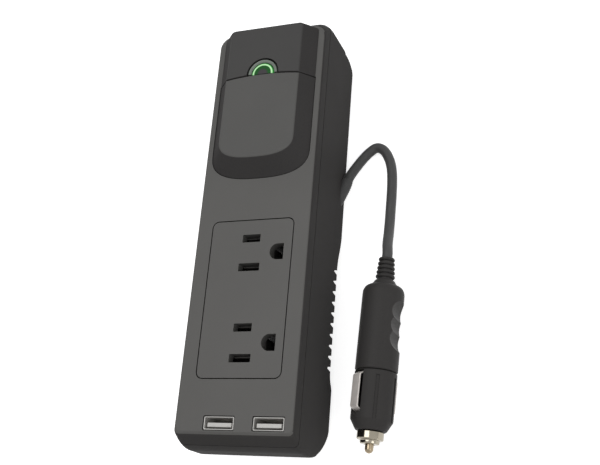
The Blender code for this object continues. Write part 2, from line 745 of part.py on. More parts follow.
def make_status_arch():
    low = CAP_TOP - ARCH_DEPTH
    add_piece("lens_bezel", [prism(half_disc(ARCH_RADIUS, ARCH_RADIUS - ARCH_RIM), low, CAP_TOP)], RIM_GREY)
    add_piece("indicator_lens", [prism(half_disc(ARCH_RADIUS - ARCH_RIM - GAP), low, CAP_TOP)], GREEN_LENS)
    lamp = (0.0, CAP_SEAM_Y + GAP / 2 + LIGHT_HOLE_OFFSET)
    dome_start = LED_HEIGHT - LED_RADIUS
    profile = [(LED_RADIUS + GAP, INDICATOR_SEAT), (LED_RADIUS + GAP, INDICATOR_SEAT + LED_FLANGE),
               (LED_RADIUS, INDICATOR_SEAT + LED_FLANGE), (LED_RADIUS, INDICATOR_SEAT + dome_start)]
    for angle in (30, 55, 80):
        turn = math.radians(angle)
        lift = dome_start + LED_RADIUS * math.sin(turn)
        profile.append((LED_RADIUS * math.cos(turn), INDICATOR_SEAT + lift))
    add_piece("status_led", [turned(profile, 16, lamp)], GREEN_LENS, smooth=True)


def make_power_button():
    seam = CAP_SEAM_Y - GAP / 2
    foot = cap_outline(CAP_WIDTH / 2, CAP_FOOT_Y, CAP_FOOT_ROUND, seam)
    face = cap_outline(CAP_TOP_WIDTH / 2, CAP_FACE_Y, CAP_FACE_ROUND, seam)
    rings = [at_height(foot, BUTTON_BACK), at_height(foot, BODY_DEPTH), at_height(face, CAP_TOP)]
    button = add_piece("power_button", [(rings, False)], FRONT_PLASTIC)
    inner_seam = seam - CAP_WALL
    foot_in = cap_outline(CAP_WIDTH / 2 - CAP_WALL, CAP_FOOT_Y + CAP_WALL,
                          CAP_FOOT_ROUND - CAP_WALL / 2, inner_seam)
    face_in = cap_outline(CAP_TOP_WIDTH / 2 - CAP_WALL, CAP_FACE_Y + CAP_WALL,
                          CAP_FACE_ROUND - CAP_WALL / 2, inner_seam)
    ceiling = CAP_TOP - CAP_WALL
    cut(button, "button_hollow", [([at_height(foot_in, BUTTON_BACK - WALL), at_height(foot_in, BODY_DEPTH),
                                    at_height(face_in, ceiling)], False)])
    hook_top = BUTTON_BACK + BUTTON_HOOK_HEIGHT
    reach = BUTTON_HOOK_LENGTH + CAP_WALL / 2
    upper = seam + BUTTON_HOOK_LENGTH - reach / 2
    lower = CAP_FOOT_Y - BUTTON_HOOK_LENGTH + reach / 2
    fuse(button, "button_hooks", [
        block(0.0, upper, BUTTON_HOOK_WIDTH, reach, BUTTON_BACK, hook_top),
        block(0.0, lower, BUTTON_HOOK_WIDTH, reach, BUTTON_BACK, hook_top),
        post((0.0, BUTTON_MIDDLE), BUTTON_POST_RADIUS, plunger_top() + GAP, ceiling + GAP),
    ])
    place = Vector((0.0, BUTTON_MIDDLE, BODY_DEPTH))
    set_origin(button, place)
    for modifier in button.modifiers:
        modifier.object.parent = button
        modifier.object.matrix_parent_inverse = Matrix.Translation(-place * MM)


def plunger_top():
    return INDICATOR_SEAT + SWITCH_HEIGHT + PLUNGER_STAND


def coil_points(radius, start, end, turns, per_turn=8):
    """Centre line of a coil spring about Z."""
    count = turns * per_turn
    points = []
    for step in range(count + 1):
        angle = math.tau * step / per_turn
        height = start + (end - start) * step / count
        points.append(Vector((radius * math.cos(angle), radius * math.sin(angle), height)))
    return points


def tube(name, points, radius, look, resolution):
    """Curve tube with closed ends through points in millimetres."""
    curve = bpy.data.curves.new(name, "CURVE")
    curve.dimensions = "3D"
    curve.bevel_depth = radius * MM
    curve.bevel_resolution = resolution
    curve.use_fill_caps = True
    spline = curve.splines.new("POLY")
    spline.points.add(len(points) - 1)
    for slot, point in zip(spline.points, points):
        slot.co = (*(Vector(point) * MM), 1.0)
    piece = bpy.data.objects.new(name, curve)
    bpy.context.scene.collection.objects.link(piece)
    curve.materials.append(material_for(name, look))
    return piece


def spring(name, radius, wire, start, end, turns):
    """Coil spring that prints its least gap between turns."""
    points = coil_points(radius, start + wire / 2 + GAP, end - wire / 2 - GAP, turns)
    print(name, "least gap between turns", round((points[-1].z - points[0].z) / turns - wire, 3), "mm")
    return tube(name, points, wire / 2, BRIGHT_METAL, 0)


def make_button_switch():
    half = SWITCH_SIZE / 2
    switch_top = INDICATOR_SEAT + SWITCH_HEIGHT
    body = block(0.0, BUTTON_MIDDLE, SWITCH_SIZE, SWITCH_SIZE, INDICATOR_SEAT, switch_top)
    switch = add_piece("push_switch", [body], DARK_PLASTIC)
    socket_floor = INDICATOR_SEAT + half / 2
    cut(switch, "plunger_socket", [block(0.0, BUTTON_MIDDLE, PLUNGER_SOCKET, PLUNGER_SOCKET, socket_floor,
                                         switch_top + WALL)])
    low = socket_floor + GAP + BUTTON_TRAVEL
    add_piece("switch_plunger", [block(0.0, BUTTON_MIDDLE, PLUNGER_SIZE, PLUNGER_SIZE, low, plunger_top())],
              PALE_PLASTIC, origin=(0.0, BUTTON_MIDDLE, low))
    for side, x in (("left", -BUTTON_SPRING_X), ("right", BUTTON_SPRING_X)):
        coil = spring(f"button_spring_{side}", BUTTON_SPRING_RADIUS, BUTTON_SPRING_WIRE, INDICATOR_TOP,
                      CAP_TOP - CAP_WALL, BUTTON_SPRING_TURNS)
        coil.location = Vector((x, BUTTON_MIDDLE, 0.0)) * MM


def panel_outline(grow=0.0):
    half_width = PANEL_WIDTH / 2 + grow
    half_length = PANEL_LENGTH / 2 + grow
    bottom, top = PANEL_Y - half_length, PANEL_Y + half_length
    return rounded_outline(-half_width, half_width, bottom, top, PANEL_RADIUS + grow)


def outlet_middles():
    return {"upper": PANEL_Y + OUTLET_PITCH / 2, "lower": PANEL_Y - OUTLET_PITCH / 2}


def ground_outline(middle):
    """D shaped hole, flat on the side away from the blades."""
    half = GROUND_HEIGHT / 2
    flat = GROUND_OFFSET + GROUND_WIDTH / 2
    centre = flat - GROUND_WIDTH + half
    return [(flat, middle - half), (flat, middle + half)] + arc_points((centre, middle), half, 90, 270, 10)


def make_outlet_faceplate():
    back = PLATE_BACK - GAP - PANEL_FLANGE_HEIGHT
    flange = panel_outline(PANEL_FLANGE)
    panel = panel_outline()
    rings = [at_height(flange, back), at_height(flange, PLATE_BACK - GAP), at_height(panel, PLATE_BACK - GAP),
             at_height(panel, BODY_DEPTH)]
    plate = add_piece("outlet_faceplate", [(rings, False)], FRONT_PLASTIC)
    low, high = back - WALL, BODY_DEPTH + WALL
    holes = []
    for middle in outlet_middles().values():
        holes.append(block(0.0, middle + BLADE_SPACING / 2, HOT_SLOT_LENGTH, BLADE_SLOT_WIDTH, low, high))
        holes.append(block(0.0, middle - BLADE_SPACING / 2, NEUTRAL_SLOT_LENGTH, BLADE_SLOT_WIDTH, low, high))
        holes.append(prism(ground_outline(middle), low, high))
    posts = [
        post(place, PANEL_POST_RADIUS, OUTLET_BOARD_TOP + GAP, back + GAP) for place in panel_post_places()
    ]
    fuse(plate, "panel_posts", posts)
    cut(plate, "outlet_holes", holes)


def panel_post_places():
    x = PANEL_WIDTH / 2 - PANEL_POST_INSET
    y = PANEL_LENGTH / 2 - PANEL_POST_INSET
    return [(side * x, PANEL_Y + end * y) for side in (-1, 1) for end in (-1, 1)]


def clip_body(inner, length):
    """U shaped contact about X = Y = 0, with a gap between its leaves along Y and a length along X."""
    half = inner / 2
    outer = half + CONTACT_METAL
    floor = CONTACT_BACK + CONTACT_METAL
    bends = [
        ((-outer, CONTACT_TOP), (-half, CONTACT_TOP)),
        ((-outer, CONTACT_BACK), (-half, floor)),
        ((outer, CONTACT_BACK), (half, floor)),
        ((outer, CONTACT_TOP), (half, CONTACT_TOP)),
    ]
    left, right = -length / 2, length / 2
    rings = [[(left, *out), (right, *out), (right, *into), (left, *into)] for out, into in bends]
    return rings, False


def make_outlet_contacts():
    for level, middle in outlet_middles().items():
        for pole, offset, length in (("hot", BLADE_SPACING / 2, HOT_SLOT_LENGTH),
                                     ("neutral", -BLADE_SPACING / 2, NEUTRAL_SLOT_LENGTH)):
            body = moved(clip_body(CONTACT_BLADE_GAP, length), (0.0, middle + offset, 0.0))
            add_piece(f"{pole}_contact_{level}", [body], BRASS)
        turn = Matrix.Rotation(math.radians(90), 4, "Z")
        body = turned_by(clip_body(CONTACT_PIN_GAP, CONTACT_PIN_LENGTH), turn)
        add_piece(f"ground_contact_{level}", [moved(body, (GROUND_OFFSET, middle, 0.0))], BRASS)
    width = PANEL_WIDTH - PANEL_POST_INSET + PANEL_POST_RADIUS
    length = PANEL_LENGTH - PANEL_POST_INSET + PANEL_POST_RADIUS
    board = block(0.0, PANEL_Y, width, length, OUTLET_BOARD_TOP - BOARD_THICK, OUTLET_BOARD_TOP)
    add_piece("outlet_board", [board], BOARD_GREEN)


def make_usb_ports():
    for side, x in (("left", USB_LEFT_X), ("right", USB_RIGHT_X)):
        shell = add_piece(f"usb_shell_{side}", [block(x, USB_Y, USB_WIDTH, USB_HEIGHT, USB_BACK, USB_FRONT)],
                          BRIGHT_METAL)
        mouth = block(x, USB_Y, USB_WIDTH - 2 * USB_SHEET, USB_HEIGHT - 2 * USB_SHEET,
                      USB_BACK + USB_SHEET, USB_FRONT + WALL)
        cut(shell, f"usb_mouth_{side}", [mouth])
        half = USB_HEIGHT / 2 - USB_SHEET - GAP
        base = USB_BACK + USB_SHEET + GAP
        shoulder = base + USB_TONGUE_BASE
        tongue_end = USB_FRONT - USB_SHEET - GAP
        width = USB_WIDTH - 2 * (USB_SHEET + GAP)
        root = block(x, USB_Y, width, 2 * half, base, shoulder)
        tongue = add_piece(f"usb_tongue_{side}", [root], PALE_PLASTIC)
        middle = USB_Y - half + USB_TONGUE_RISE + USB_TONGUE_THICK / 2
        blade_width = width - 2 * USB_TONGUE_SIDE_INSET
        blade = block(x, middle, blade_width, USB_TONGUE_THICK, shoulder - GAP, tongue_end)
        fuse(tongue, f"usb_blade_{side}", [blade])
    left = USB_LEFT_X - USB_WIDTH / 2 - USB_BOARD_SIDE_MARGIN - POST_RADIUS
    right = USB_RIGHT_X + USB_WIDTH / 2
    add_piece("usb_board", [block((left + right) / 2, USB_Y, right - left, USB_BOARD_WIDTH,
                                  USB_BOARD_TOP - BOARD_THICK, USB_BOARD_TOP)], BOARD_GREEN)


def make_boards():
    length = MAIN_BOARD_END - MAIN_BOARD_START
    add_piece("main_board", [block(0.0, MAIN_BOARD_MIDDLE, MAIN_BOARD_WIDTH, length, MAIN_BOARD_HEIGHT,
                                   MAIN_BOARD_TOP)], BOARD_GREEN)
    length = MAIN_BOARD_END - INDICATOR_BOARD_START
    middle = (MAIN_BOARD_END + INDICATOR_BOARD_START) / 2
    board = block(0.0, middle, INDICATOR_BOARD_WIDTH, length, INDICATOR_TOP - BOARD_THICK, INDICATOR_TOP)
    add_piece("indicator_board", [board], BOARD_GREEN)


def make_transformer():
    middle = MAIN_BOARD_MIDDLE
    core = add_piece("transformer_core", [block(0.0, middle, CORE_THICK, CORE_LENGTH, PART_SEAT,
                                                PART_SEAT + CORE_HEIGHT)], CORE_GREY)
    offset = (CORE_LEG + CORE_WINDOW) / 2
    low = PART_SEAT + CORE_YOKE
    high = PART_SEAT + CORE_HEIGHT - CORE_YOKE
    cut(core, "core_windows", [
        block(0.0, middle + side * offset, BODY_WIDTH, CORE_WINDOW, low, high) for side in (-1, 1)
    ])
    inner = rounded_outline(-CORE_THICK / 2 - GAP, CORE_THICK / 2 + GAP, middle - CORE_LEG / 2 - GAP,
                            middle + CORE_LEG / 2 + GAP, GAP)
    build = min(WINDING_BUILD, CORE_WINDOW - 2 * GAP)
    outer = rounded_outline(-CORE_THICK / 2 - build, CORE_THICK / 2 + build, middle - CORE_LEG / 2 - build,
                            middle + CORE_LEG / 2 + build, build)
    rings = [at_height(inner, low + GAP), at_height(outer, low + GAP), at_height(outer, high - GAP),
             at_height(inner, high - GAP)]
    add_piece("transformer_winding", [(rings, True)], WINDING_TAPE)


def heat_sink_profile():
    """Comb of fins that stand out to +X from a base at X = 0."""
    pitch = (HEAT_SINK_HEIGHT - HEAT_SINK_EDGE) / (HEAT_SINK_FINS - 1)
    points = [(0.0, PART_SEAT)]
    for fin in range(HEAT_SINK_FINS):
        low = PART_SEAT + fin * pitch
        high = low + HEAT_SINK_EDGE
        if fin:
            points.append((HEAT_SINK_BASE, low))
        points += [(HEAT_SINK_WIDTH, low), (HEAT_SINK_WIDTH, high)]
        if fin < HEAT_SINK_FINS - 1:
            points.append((HEAT_SINK_BASE, high))
    return points + [(0.0, PART_SEAT + HEAT_SINK_HEIGHT)]


def make_power_stage():
    edge = MAIN_BOARD_WIDTH / 2 - HEAT_SINK_WIDTH
    start = MAIN_BOARD_MIDDLE - HEAT_SINK_LENGTH / 2
    number = 1
    for side, name in ((-1, "left"), (1, "right")):
        profile = [(side * (edge + x), z) for x, z in heat_sink_profile()]
        add_piece(f"heat_sink_{name}", [along(profile, start, start + HEAT_SINK_LENGTH)], ALUMINIUM)
        face = edge - GAP
        step = PART_SEAT + TRANSISTOR_BODY_HEIGHT
        top = step + TRANSISTOR_TAB_HEIGHT
        tab = face - TRANSISTOR_TAB
        front = face - TRANSISTOR_BODY
        profile = [(face, PART_SEAT), (face, top), (tab, top), (tab, step), (front, step), (front, PART_SEAT)]
        profile = [(side * x, z) for x, z in profile]
        for end in (-1, 1):
            middle = MAIN_BOARD_MIDDLE + end * TRANSISTOR_PITCH / 2
            add_piece(f"power_transistor_{number}", [along(profile, middle - TRANSISTOR_WIDTH / 2,
                                                           middle + TRANSISTOR_WIDTH / 2)], DARK_PLASTIC)
            number += 1
    waist = CAPACITOR_RADIUS - CAPACITOR_CRIMP
    crimp = CAPACITOR_CRIMP_START + CAPACITOR_CRIMP
    shoulder = CAPACITOR_HEIGHT - CAPACITOR_CRIMP
    can = [(CAPACITOR_RADIUS, 0.0), (CAPACITOR_RADIUS, CAPACITOR_CRIMP_START), (waist, crimp),
           (CAPACITOR_RADIUS, crimp + CAPACITOR_CRIMP), (CAPACITOR_RADIUS, shoulder),
           (waist, CAPACITOR_HEIGHT)]
    y = MAIN_BOARD_END - CAPACITOR_RADIUS
    for name, x in (("input_capacitor", -CAPACITOR_X), ("output_capacitor", CAPACITOR_X)):
        add_piece(name, [moved(turned(can, 20, (x, y)), (0.0, 0.0, PART_SEAT))], CAN_BLUE, smooth=True)
    hoop = [[(radius * math.cos(turn), radius * math.sin(turn), height)
             for radius, height in [(CHOKE_RADIUS + x, CHOKE_WIRE + z) for x, z in circle(CHOKE_WIRE, 8)]]
            for turn in [math.tau * step / 20 for step in range(20)]]
    place = (0.0, MAIN_BOARD_START + CHOKE_RADIUS + CHOKE_WIRE, PART_SEAT)
    add_piece("filter_choke", [moved((hoop, True), place)], COPPER, smooth=True)


def make_fan():
    middle = GRIP_MIDDLE
    low = GRIP_FLOOR + GAP
    high = low + FAN_THICK
    centre = (0.0, middle)
    frame = add_piece("fan_frame", [block(0.0, middle, FAN_SIZE, FAN_SIZE, low, high)], DARK_PLASTIC)
    cut(frame, "fan_bore", [post(centre, FAN_BORE_RADIUS, low - WALL, high + WALL, 32)])
    arms = 2 * (FAN_BORE_RADIUS + GAP)
    hub = post(centre, FAN_HUB_RADIUS, low, low + FAN_BASE, 20)
    fuse(frame, "fan_hub_seat", [hub])
    fuse(frame, "fan_arm_across", [block(0.0, middle, arms, FAN_ARM_WIDTH, low, low + FAN_BASE)])
    fuse(frame, "fan_arm_along", [block(0.0, middle, FAN_ARM_WIDTH, arms, low, low + FAN_BASE)])
    bore = FAN_SHAFT_RADIUS + GAP
    cut(frame, "fan_bearing", [post(centre, bore, low - WALL, low + FAN_BASE + WALL)])
    hub_low = low + FAN_BASE + GAP
    hub_high = high - GAP
    rotor = add_piece("fan_rotor", [turned([
        (FAN_SHAFT_RADIUS, low + GAP), (FAN_SHAFT_RADIUS, hub_low), (FAN_HUB_RADIUS, hub_low),
        (FAN_HUB_RADIUS, hub_high - GAP), (FAN_HUB_RADIUS - GAP, hub_high),
    ], 20, centre)], DARK_PLASTIC)
    outer = FAN_BORE_RADIUS - FAN_ROTOR_GAP
    inner = FAN_HUB_RADIUS - WALL
    height = hub_high - hub_low - 2 * GAP
    width = height / math.sin(math.radians(FAN_BLADE_PITCH)) - 2 * FAN_BLADE_THICK
    blades = []
    half = FAN_BLADE_THICK / 2
    for blade in range(FAN_BLADES):
        flat = block((inner + outer) / 2, 0.0, outer - inner, width, -half, half)
        turn = Matrix.Rotation(math.tau * blade / FAN_BLADES, 4, "Z")
        place = Matrix.Translation((0.0, middle, (hub_low + hub_high) / 2))
        blades.append(turned_by(flat, place @ turn @ Matrix.Rotation(math.radians(FAN_BLADE_PITCH), 4, "X")))
    fuse(rotor, "fan_blades", blades)
    place = Vector((0.0, middle, low))
    set_origin(rotor, place)
    for modifier in rotor.modifiers:
        modifier.object.parent = rotor
        modifier.object.matrix_parent_inverse = Matrix.Translation(-place * MM)


def make_screws():
    top = PLATE_BACK - GAP
    for number, place in enumerate(SCREW_PLACES, 1):
        profile = [(SCREW_HEAD_RADIUS, SCREW_SINK), (SCREW_HEAD_RADIUS, SCREW_SINK + SCREW_HEAD_HEIGHT - GAP),
                   (SCREW_RADIUS, SCREW_SINK + SCREW_HEAD_HEIGHT - GAP), (SCREW_RADIUS, top - SCREW_RADIUS),
                   (SCREW_RADIUS / 3, top)]
        screw = add_piece(f"housing_screw_{number}", [turned(profile, 16, place)], BRIGHT_METAL, smooth=True)
        slot = SCREW_RADIUS / 2
        x, y = place
        cut(screw, f"driver_slot_{number}", [block(x, y, 3 * SCREW_RADIUS, slot, SCREW_SINK - WALL,
                                                   SCREW_SINK + SCREW_HEAD_HEIGHT / 2)])


def smooth_route(points, spacing):
    """Points along a smooth curve through the route, about a spacing apart."""
    guides = [Vector(point) for point in points]
    guides = [2 * guides[0] - guides[1]] + guides + [2 * guides[-1] - guides[-2]]
    line = []
    for before, start, end, after in zip(guides, guides[1:], guides[2:], guides[3:]):
        steps = max(1, round((end - start).length / spacing))
        for step in range(steps):
            t = step / steps
            line.append(0.5 * (2 * start + (end - before) * t
                               + (2 * before - 5 * start + 4 * end - after) * t ** 2
                               + (3 * start - before - 3 * end + after) * t ** 3))
    return line + [guides[-2]]


def make_lead():
    add_piece("cord_gland", [turned_by(gland_body(), gland_matrix())], CORD_RUBBER, smooth=True)
    heading = Vector((math.cos(math.radians(CORD_EXIT_ANGLE)), math.sin(math.radians(CORD_EXIT_ANGLE)), 0.0))
    exit_point = Vector((HALF_WIDTH, CORD_EXIT_Y, CORD_EXIT_HEIGHT))
    leave = exit_point + heading * (GLAND_OUTSIDE + GAP)
    turn = math.radians(PLUG_TURN)
    plug_heading = Vector((-math.sin(turn), -math.cos(turn), 0.0))
    arrive = Vector((PLUG_X, PLUG_Y, PLUG_HEIGHT)) - plug_heading * GAP
    route = [leave, leave + heading * CORD_DIAMETER / 2]
    route += [(HALF_WIDTH + x, CORD_EXIT_Y + y, z) for x, y, z in CORD_ROUTE]
    route += [arrive - plug_heading * CORD_DIAMETER / 2, arrive]
    tube("cord", smooth_route(route, CORD_POINT_SPACING), CORD_DIAMETER / 2, CORD_RUBBER, 3)


def plug_parent():
    """Empty at the end of the plug's boot, with its Z along the plug towards the tip."""
    empty = bpy.data.objects.new("plug_axis", None)
    bpy.context.scene.collection.objects.link(empty)
    turn = Matrix.Rotation(math.radians(-PLUG_TURN), 4, "Z") @ Matrix.Rotation(math.radians(90), 4, "X")
    empty.matrix_world = Matrix.Translation(Vector((PLUG_X, PLUG_Y, PLUG_HEIGHT)) * MM) @ turn
    return empty


def spoke(angle, start, end, width, low, high):
    """Box that reaches out at an angle about the plug's axis, between two radii and two places along it."""
    flat = block((start + end) / 2, 0.0, end - start, width, low, high)
    return turned_by(flat, Matrix.Rotation(math.radians(angle), 4, "Z"))


def make_plug_handle(axis):
    profile = []
    for ring in range(BOOT_RINGS):
        start = ring * BOOT_RING_PITCH
        radius = BOOT_TIP_RADIUS + (BOOT_ROOT_RADIUS - BOOT_TIP_RADIUS) * start / BOOT_LENGTH
        groove = radius - BOOT_RING_HEIGHT
        edge = BOOT_RING_PITCH * BOOT_RING_SHARE
        profile += [(radius, start), (radius, start + edge), (groove, start + edge),
                    (groove, start + BOOT_RING_PITCH)]
    profile.append((BOOT_ROOT_RADIUS, BOOT_LENGTH))
    boot = add_piece("plug_boot", [turned(profile, 20)], PLUG_PLASTIC)
    shoulder = HANDLE_START + HANDLE_SHOULDER
    profile = [(HANDLE_TOP_RADIUS, HANDLE_START)]
    for turn in (30, 60, 90):
        lift = math.radians(turn)
        profile.append((HANDLE_TOP_RADIUS + (HANDLE_RADIUS - HANDLE_TOP_RADIUS) * math.sin(lift),
                        shoulder - HANDLE_SHOULDER * math.cos(lift)))
    profile += [(HANDLE_RADIUS, HANDLE_END - GAP), (HANDLE_RADIUS - GAP, HANDLE_END)]
    handle = add_piece("plug_handle", [turned(profile, 32)], PLUG_PLASTIC, smooth=True)
    scallops = []
    for finger in range(FINGER_COUNT):
        middle = HANDLE_START + FINGER_START + (finger + 0.5) * FINGER_PITCH
        reach = HANDLE_RADIUS - FINGER_DEPTH + FINGER_RADIUS
        roll = [(x + reach, z + middle) for x, z in circle(FINGER_RADIUS, 20)]
        body = along(roll, -BODY_WIDTH, BODY_WIDTH)
        scallops.append(turned_by(body, Matrix.Rotation(math.radians(FINGER_ANGLE), 4, "Z")))
    for finger, scallop in enumerate(scallops, 1):
        cut(handle, f"finger_{finger}", [scallop], axis)
    neck = BARREL_NECK_RADIUS + GAP
    bore_start = HANDLE_END - BARREL_NECK_LENGTH - GAP
    cut(handle, "handle_bore", [post((0.0, 0.0), neck, bore_start, HANDLE_END + WALL, 20)], axis)
    return [boot, handle]


def make_plug_barrel(axis):
    straight_end = BARREL_START + BARREL_LENGTH
    neck_start = HANDLE_END - BARREL_NECK_LENGTH
    barrel = add_piece("plug_barrel", [turned([
        (BARREL_NECK_RADIUS, neck_start), (BARREL_NECK_RADIUS, BARREL_START),
        (BARREL_RADIUS - GAP, BARREL_START), (BARREL_RADIUS, BARREL_START + GAP),
        (BARREL_RADIUS, straight_end), (BARREL_NOSE_RADIUS, BARREL_END),
    ], 32)], PLUG_PLASTIC, smooth=True)
    bore_start = neck_start + WALL
    cut(barrel, "fuse_bore", [post((0.0, 0.0), BARREL_BORE_RADIUS, bore_start, BARREL_END + WALL, 20)], axis)
    leaf_start = BARREL_START + GAP
    pocket_floor = BARREL_RADIUS - LEAF_ROOT_DEPTH - LEAF_THICK - LEAF_TRAVEL - GAP
    pockets = [
        spoke(angle, pocket_floor, BODY_WIDTH, LEAF_WIDTH + 2 * LEAF_BACK_GAP, leaf_start,
              leaf_start + LEAF_LENGTH + 2 * LEAF_BACK_GAP)
        for angle in (LEAF_ANGLE, LEAF_ANGLE + 180)
    ]
    cut(barrel, "leaf_pockets", pockets, axis)
    flutes = []
    for flute in range(BARREL_FLUTES):
        angle = LEAF_ANGLE + 360 * flute / BARREL_FLUTES
        flutes.append(spoke(angle, BARREL_RADIUS - FLUTE_DEPTH, BODY_WIDTH, FLUTE_WIDTH, BARREL_START + WALL,
                            BARREL_END + WALL))
    cut(barrel, "flutes", flutes, axis)
    low = leaf_start + LEAF_BACK_GAP
    root = BARREL_RADIUS - LEAF_ROOT_DEPTH
    crest = BARREL_RADIUS + LEAF_RISE
    high = low + LEAF_LENGTH
    outer = [(root, low), (crest, low + LEAF_RAMP), (crest, high - LEAF_RAMP), (root, high)]
    profile = outer + [(r - LEAF_THICK, s) for r, s in reversed(outer)]
    pieces = [barrel]
    for name, angle in (("upper", LEAF_ANGLE), ("lower", LEAF_ANGLE + 180)):
        body = along(profile, -LEAF_WIDTH / 2, LEAF_WIDTH / 2)
        leaf = turned_by(body, Matrix.Rotation(math.radians(angle), 4, "Z"))
        pieces.append(add_piece(f"ground_spring_{name}", [leaf], BRIGHT_METAL))
    return pieces


def make_plug_nose():
    step = NOSE_START + NOSE_LENGTH
    lip = NOSE_END - NOSE_LIP
    bore = TIP_RADIUS + SLIDE_GAP
    ring = add_piece("nose_ring", [turned([
        (NOSE_RADIUS, NOSE_START), (NOSE_RADIUS, step - GAP), (NOSE_RADIUS - GAP, step),
        (NOSE_STEP_RADIUS, step), (NOSE_STEP_RADIUS, NOSE_END - GAP), (NOSE_STEP_RADIUS - GAP, NOSE_END),
        (bore, NOSE_END), (bore, lip), (BARREL_BORE_RADIUS, lip), (BARREL_BORE_RADIUS, NOSE_START),
    ], 32, hoop=True)], BRIGHT_METAL, smooth=True)
    flange_end = lip - GAP
    flange_start = flange_end - TIP_FLANGE_LENGTH
    end = NOSE_END + TIP_STAND
    profile = [(TIP_FLANGE_RADIUS, flange_start), (TIP_FLANGE_RADIUS, flange_end), (TIP_RADIUS, flange_end),
               (TIP_RADIUS, end - TIP_RADIUS)]
    for angle in (30, 55, 80):
        turn = math.radians(angle)
        profile.append((TIP_RADIUS * math.cos(turn), end - TIP_RADIUS + TIP_RADIUS * math.sin(turn)))
    tip = add_piece("tip_contact", [turned(profile, 20)], BRASS, smooth=True)
    fuse_end = flange_start - GAP
    fuse_start = fuse_end - FUSE_LENGTH
    glass = FUSE_RADIUS - GAP
    cap_end = fuse_start + FUSE_CAP_LENGTH
    cap_start = fuse_end - FUSE_CAP_LENGTH
    fuse_piece = add_piece("fuse", [turned([
        (FUSE_RADIUS, fuse_start), (FUSE_RADIUS, cap_end), (glass, cap_end), (glass, cap_start),
        (FUSE_RADIUS, cap_start), (FUSE_RADIUS, fuse_end),
    ], 16)], FUSE_GLASS)
    bore_start = HANDLE_END - BARREL_NECK_LENGTH + WALL
    coil = spring("tip_spring", TIP_SPRING_RADIUS, TIP_SPRING_WIRE, bore_start, fuse_start, TIP_SPRING_TURNS)
    return [ring, tip, fuse_piece, coil]


def make_plug():
    axis = plug_parent()
    for piece in make_plug_handle(axis) + make_plug_barrel(axis) + make_plug_nose():
        piece.parent = axis


def main():
    clear_scene()
    make_rear_housing()
    make_front_cover()
    make_indicator_crown()
    make_status_arch()
    make_power_button()
    make_button_switch()
    make_outlet_faceplate()
    make_outlet_contacts()
    make_usb_ports()
    make_boards()
    make_transformer()
    make_power_stage()
    make_fan()
    make_screws()
    make_lead()
    make_plug()


main()
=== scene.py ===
"""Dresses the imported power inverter: models its visible pieces over the frame, finishes and lights them.

Sizes are in metres. X runs across the width, Y along the length to the raised cap, Z out of the front.
"""

import json
import math
from itertools import accumulate

import bmesh
import bpy
from bpy.props import FloatProperty, FloatVectorProperty, IntProperty, PointerProperty
from mathutils import Matrix, Vector

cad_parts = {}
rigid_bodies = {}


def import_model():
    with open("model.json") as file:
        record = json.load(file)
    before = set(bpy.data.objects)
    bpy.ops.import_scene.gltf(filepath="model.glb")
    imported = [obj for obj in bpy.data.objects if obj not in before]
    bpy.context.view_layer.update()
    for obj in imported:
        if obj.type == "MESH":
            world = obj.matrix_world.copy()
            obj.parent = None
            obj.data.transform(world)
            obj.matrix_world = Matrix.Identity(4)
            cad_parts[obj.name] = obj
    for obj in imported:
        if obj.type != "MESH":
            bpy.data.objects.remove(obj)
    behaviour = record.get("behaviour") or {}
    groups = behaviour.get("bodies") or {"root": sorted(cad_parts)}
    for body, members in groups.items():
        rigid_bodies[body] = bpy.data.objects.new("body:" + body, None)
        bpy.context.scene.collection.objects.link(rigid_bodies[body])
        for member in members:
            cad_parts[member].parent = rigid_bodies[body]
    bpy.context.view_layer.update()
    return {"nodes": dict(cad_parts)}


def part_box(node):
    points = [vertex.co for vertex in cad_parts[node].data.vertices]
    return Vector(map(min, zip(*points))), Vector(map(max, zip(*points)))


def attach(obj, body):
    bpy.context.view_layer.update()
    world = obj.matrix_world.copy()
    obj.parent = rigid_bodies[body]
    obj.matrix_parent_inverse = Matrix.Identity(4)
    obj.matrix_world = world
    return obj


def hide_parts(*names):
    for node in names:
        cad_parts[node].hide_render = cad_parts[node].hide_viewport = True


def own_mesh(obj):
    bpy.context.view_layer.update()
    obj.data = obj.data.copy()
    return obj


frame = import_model()

bl_info = {
    "name": "Power inverter pieces",
    "version": (1, 0, 0),
    "blender": (4, 5, 0),
    "location": "View3D > Sidebar > Inverter",
    "description": "Models, finishes and lights the visible pieces of a power inverter",
    "category": "Object",
}

MM = 0.001
NEAR = 1e-6  # places closer than this are one
FLAT = math.radians(0.3)  # faces that lean less than this lie in one plane
SIDES = ("left", "right")

# Route of the lead from its strain relief to the plug's boot
LEAD_ROUTE = [(x * MM, y * MM, z * MM) for x, y, z in (
    (27.22, 29.64, 6.2), (28.65, 32.95, 6.1), (29.75, 35.75, 5.1), (30.85, 38.5, 3.8), (32.2, 41.2, 2.85),
    (34.1, 43.85, 2.4), (36.6, 46.2, 2.4), (39.4, 47.8, 2.4), (41.9, 47.1, 2.4), (43.8, 45.2, 2.4),
    (45.4, 42.3, 2.4), (46.6, 38.9, 2.4), (47.3, 35.0, 2.4), (47.6, 30.8, 2.4), (47.7, 24.5, 2.4),
    (47.6, 17.9, 2.4), (47.6, 10.4, 2.9), (48.0, 3.5, 5.1), (48.6, -2.5, 8.0), (49.22, -6.8, 9.41),
    (49.06, -10.4, 9.41),
)]

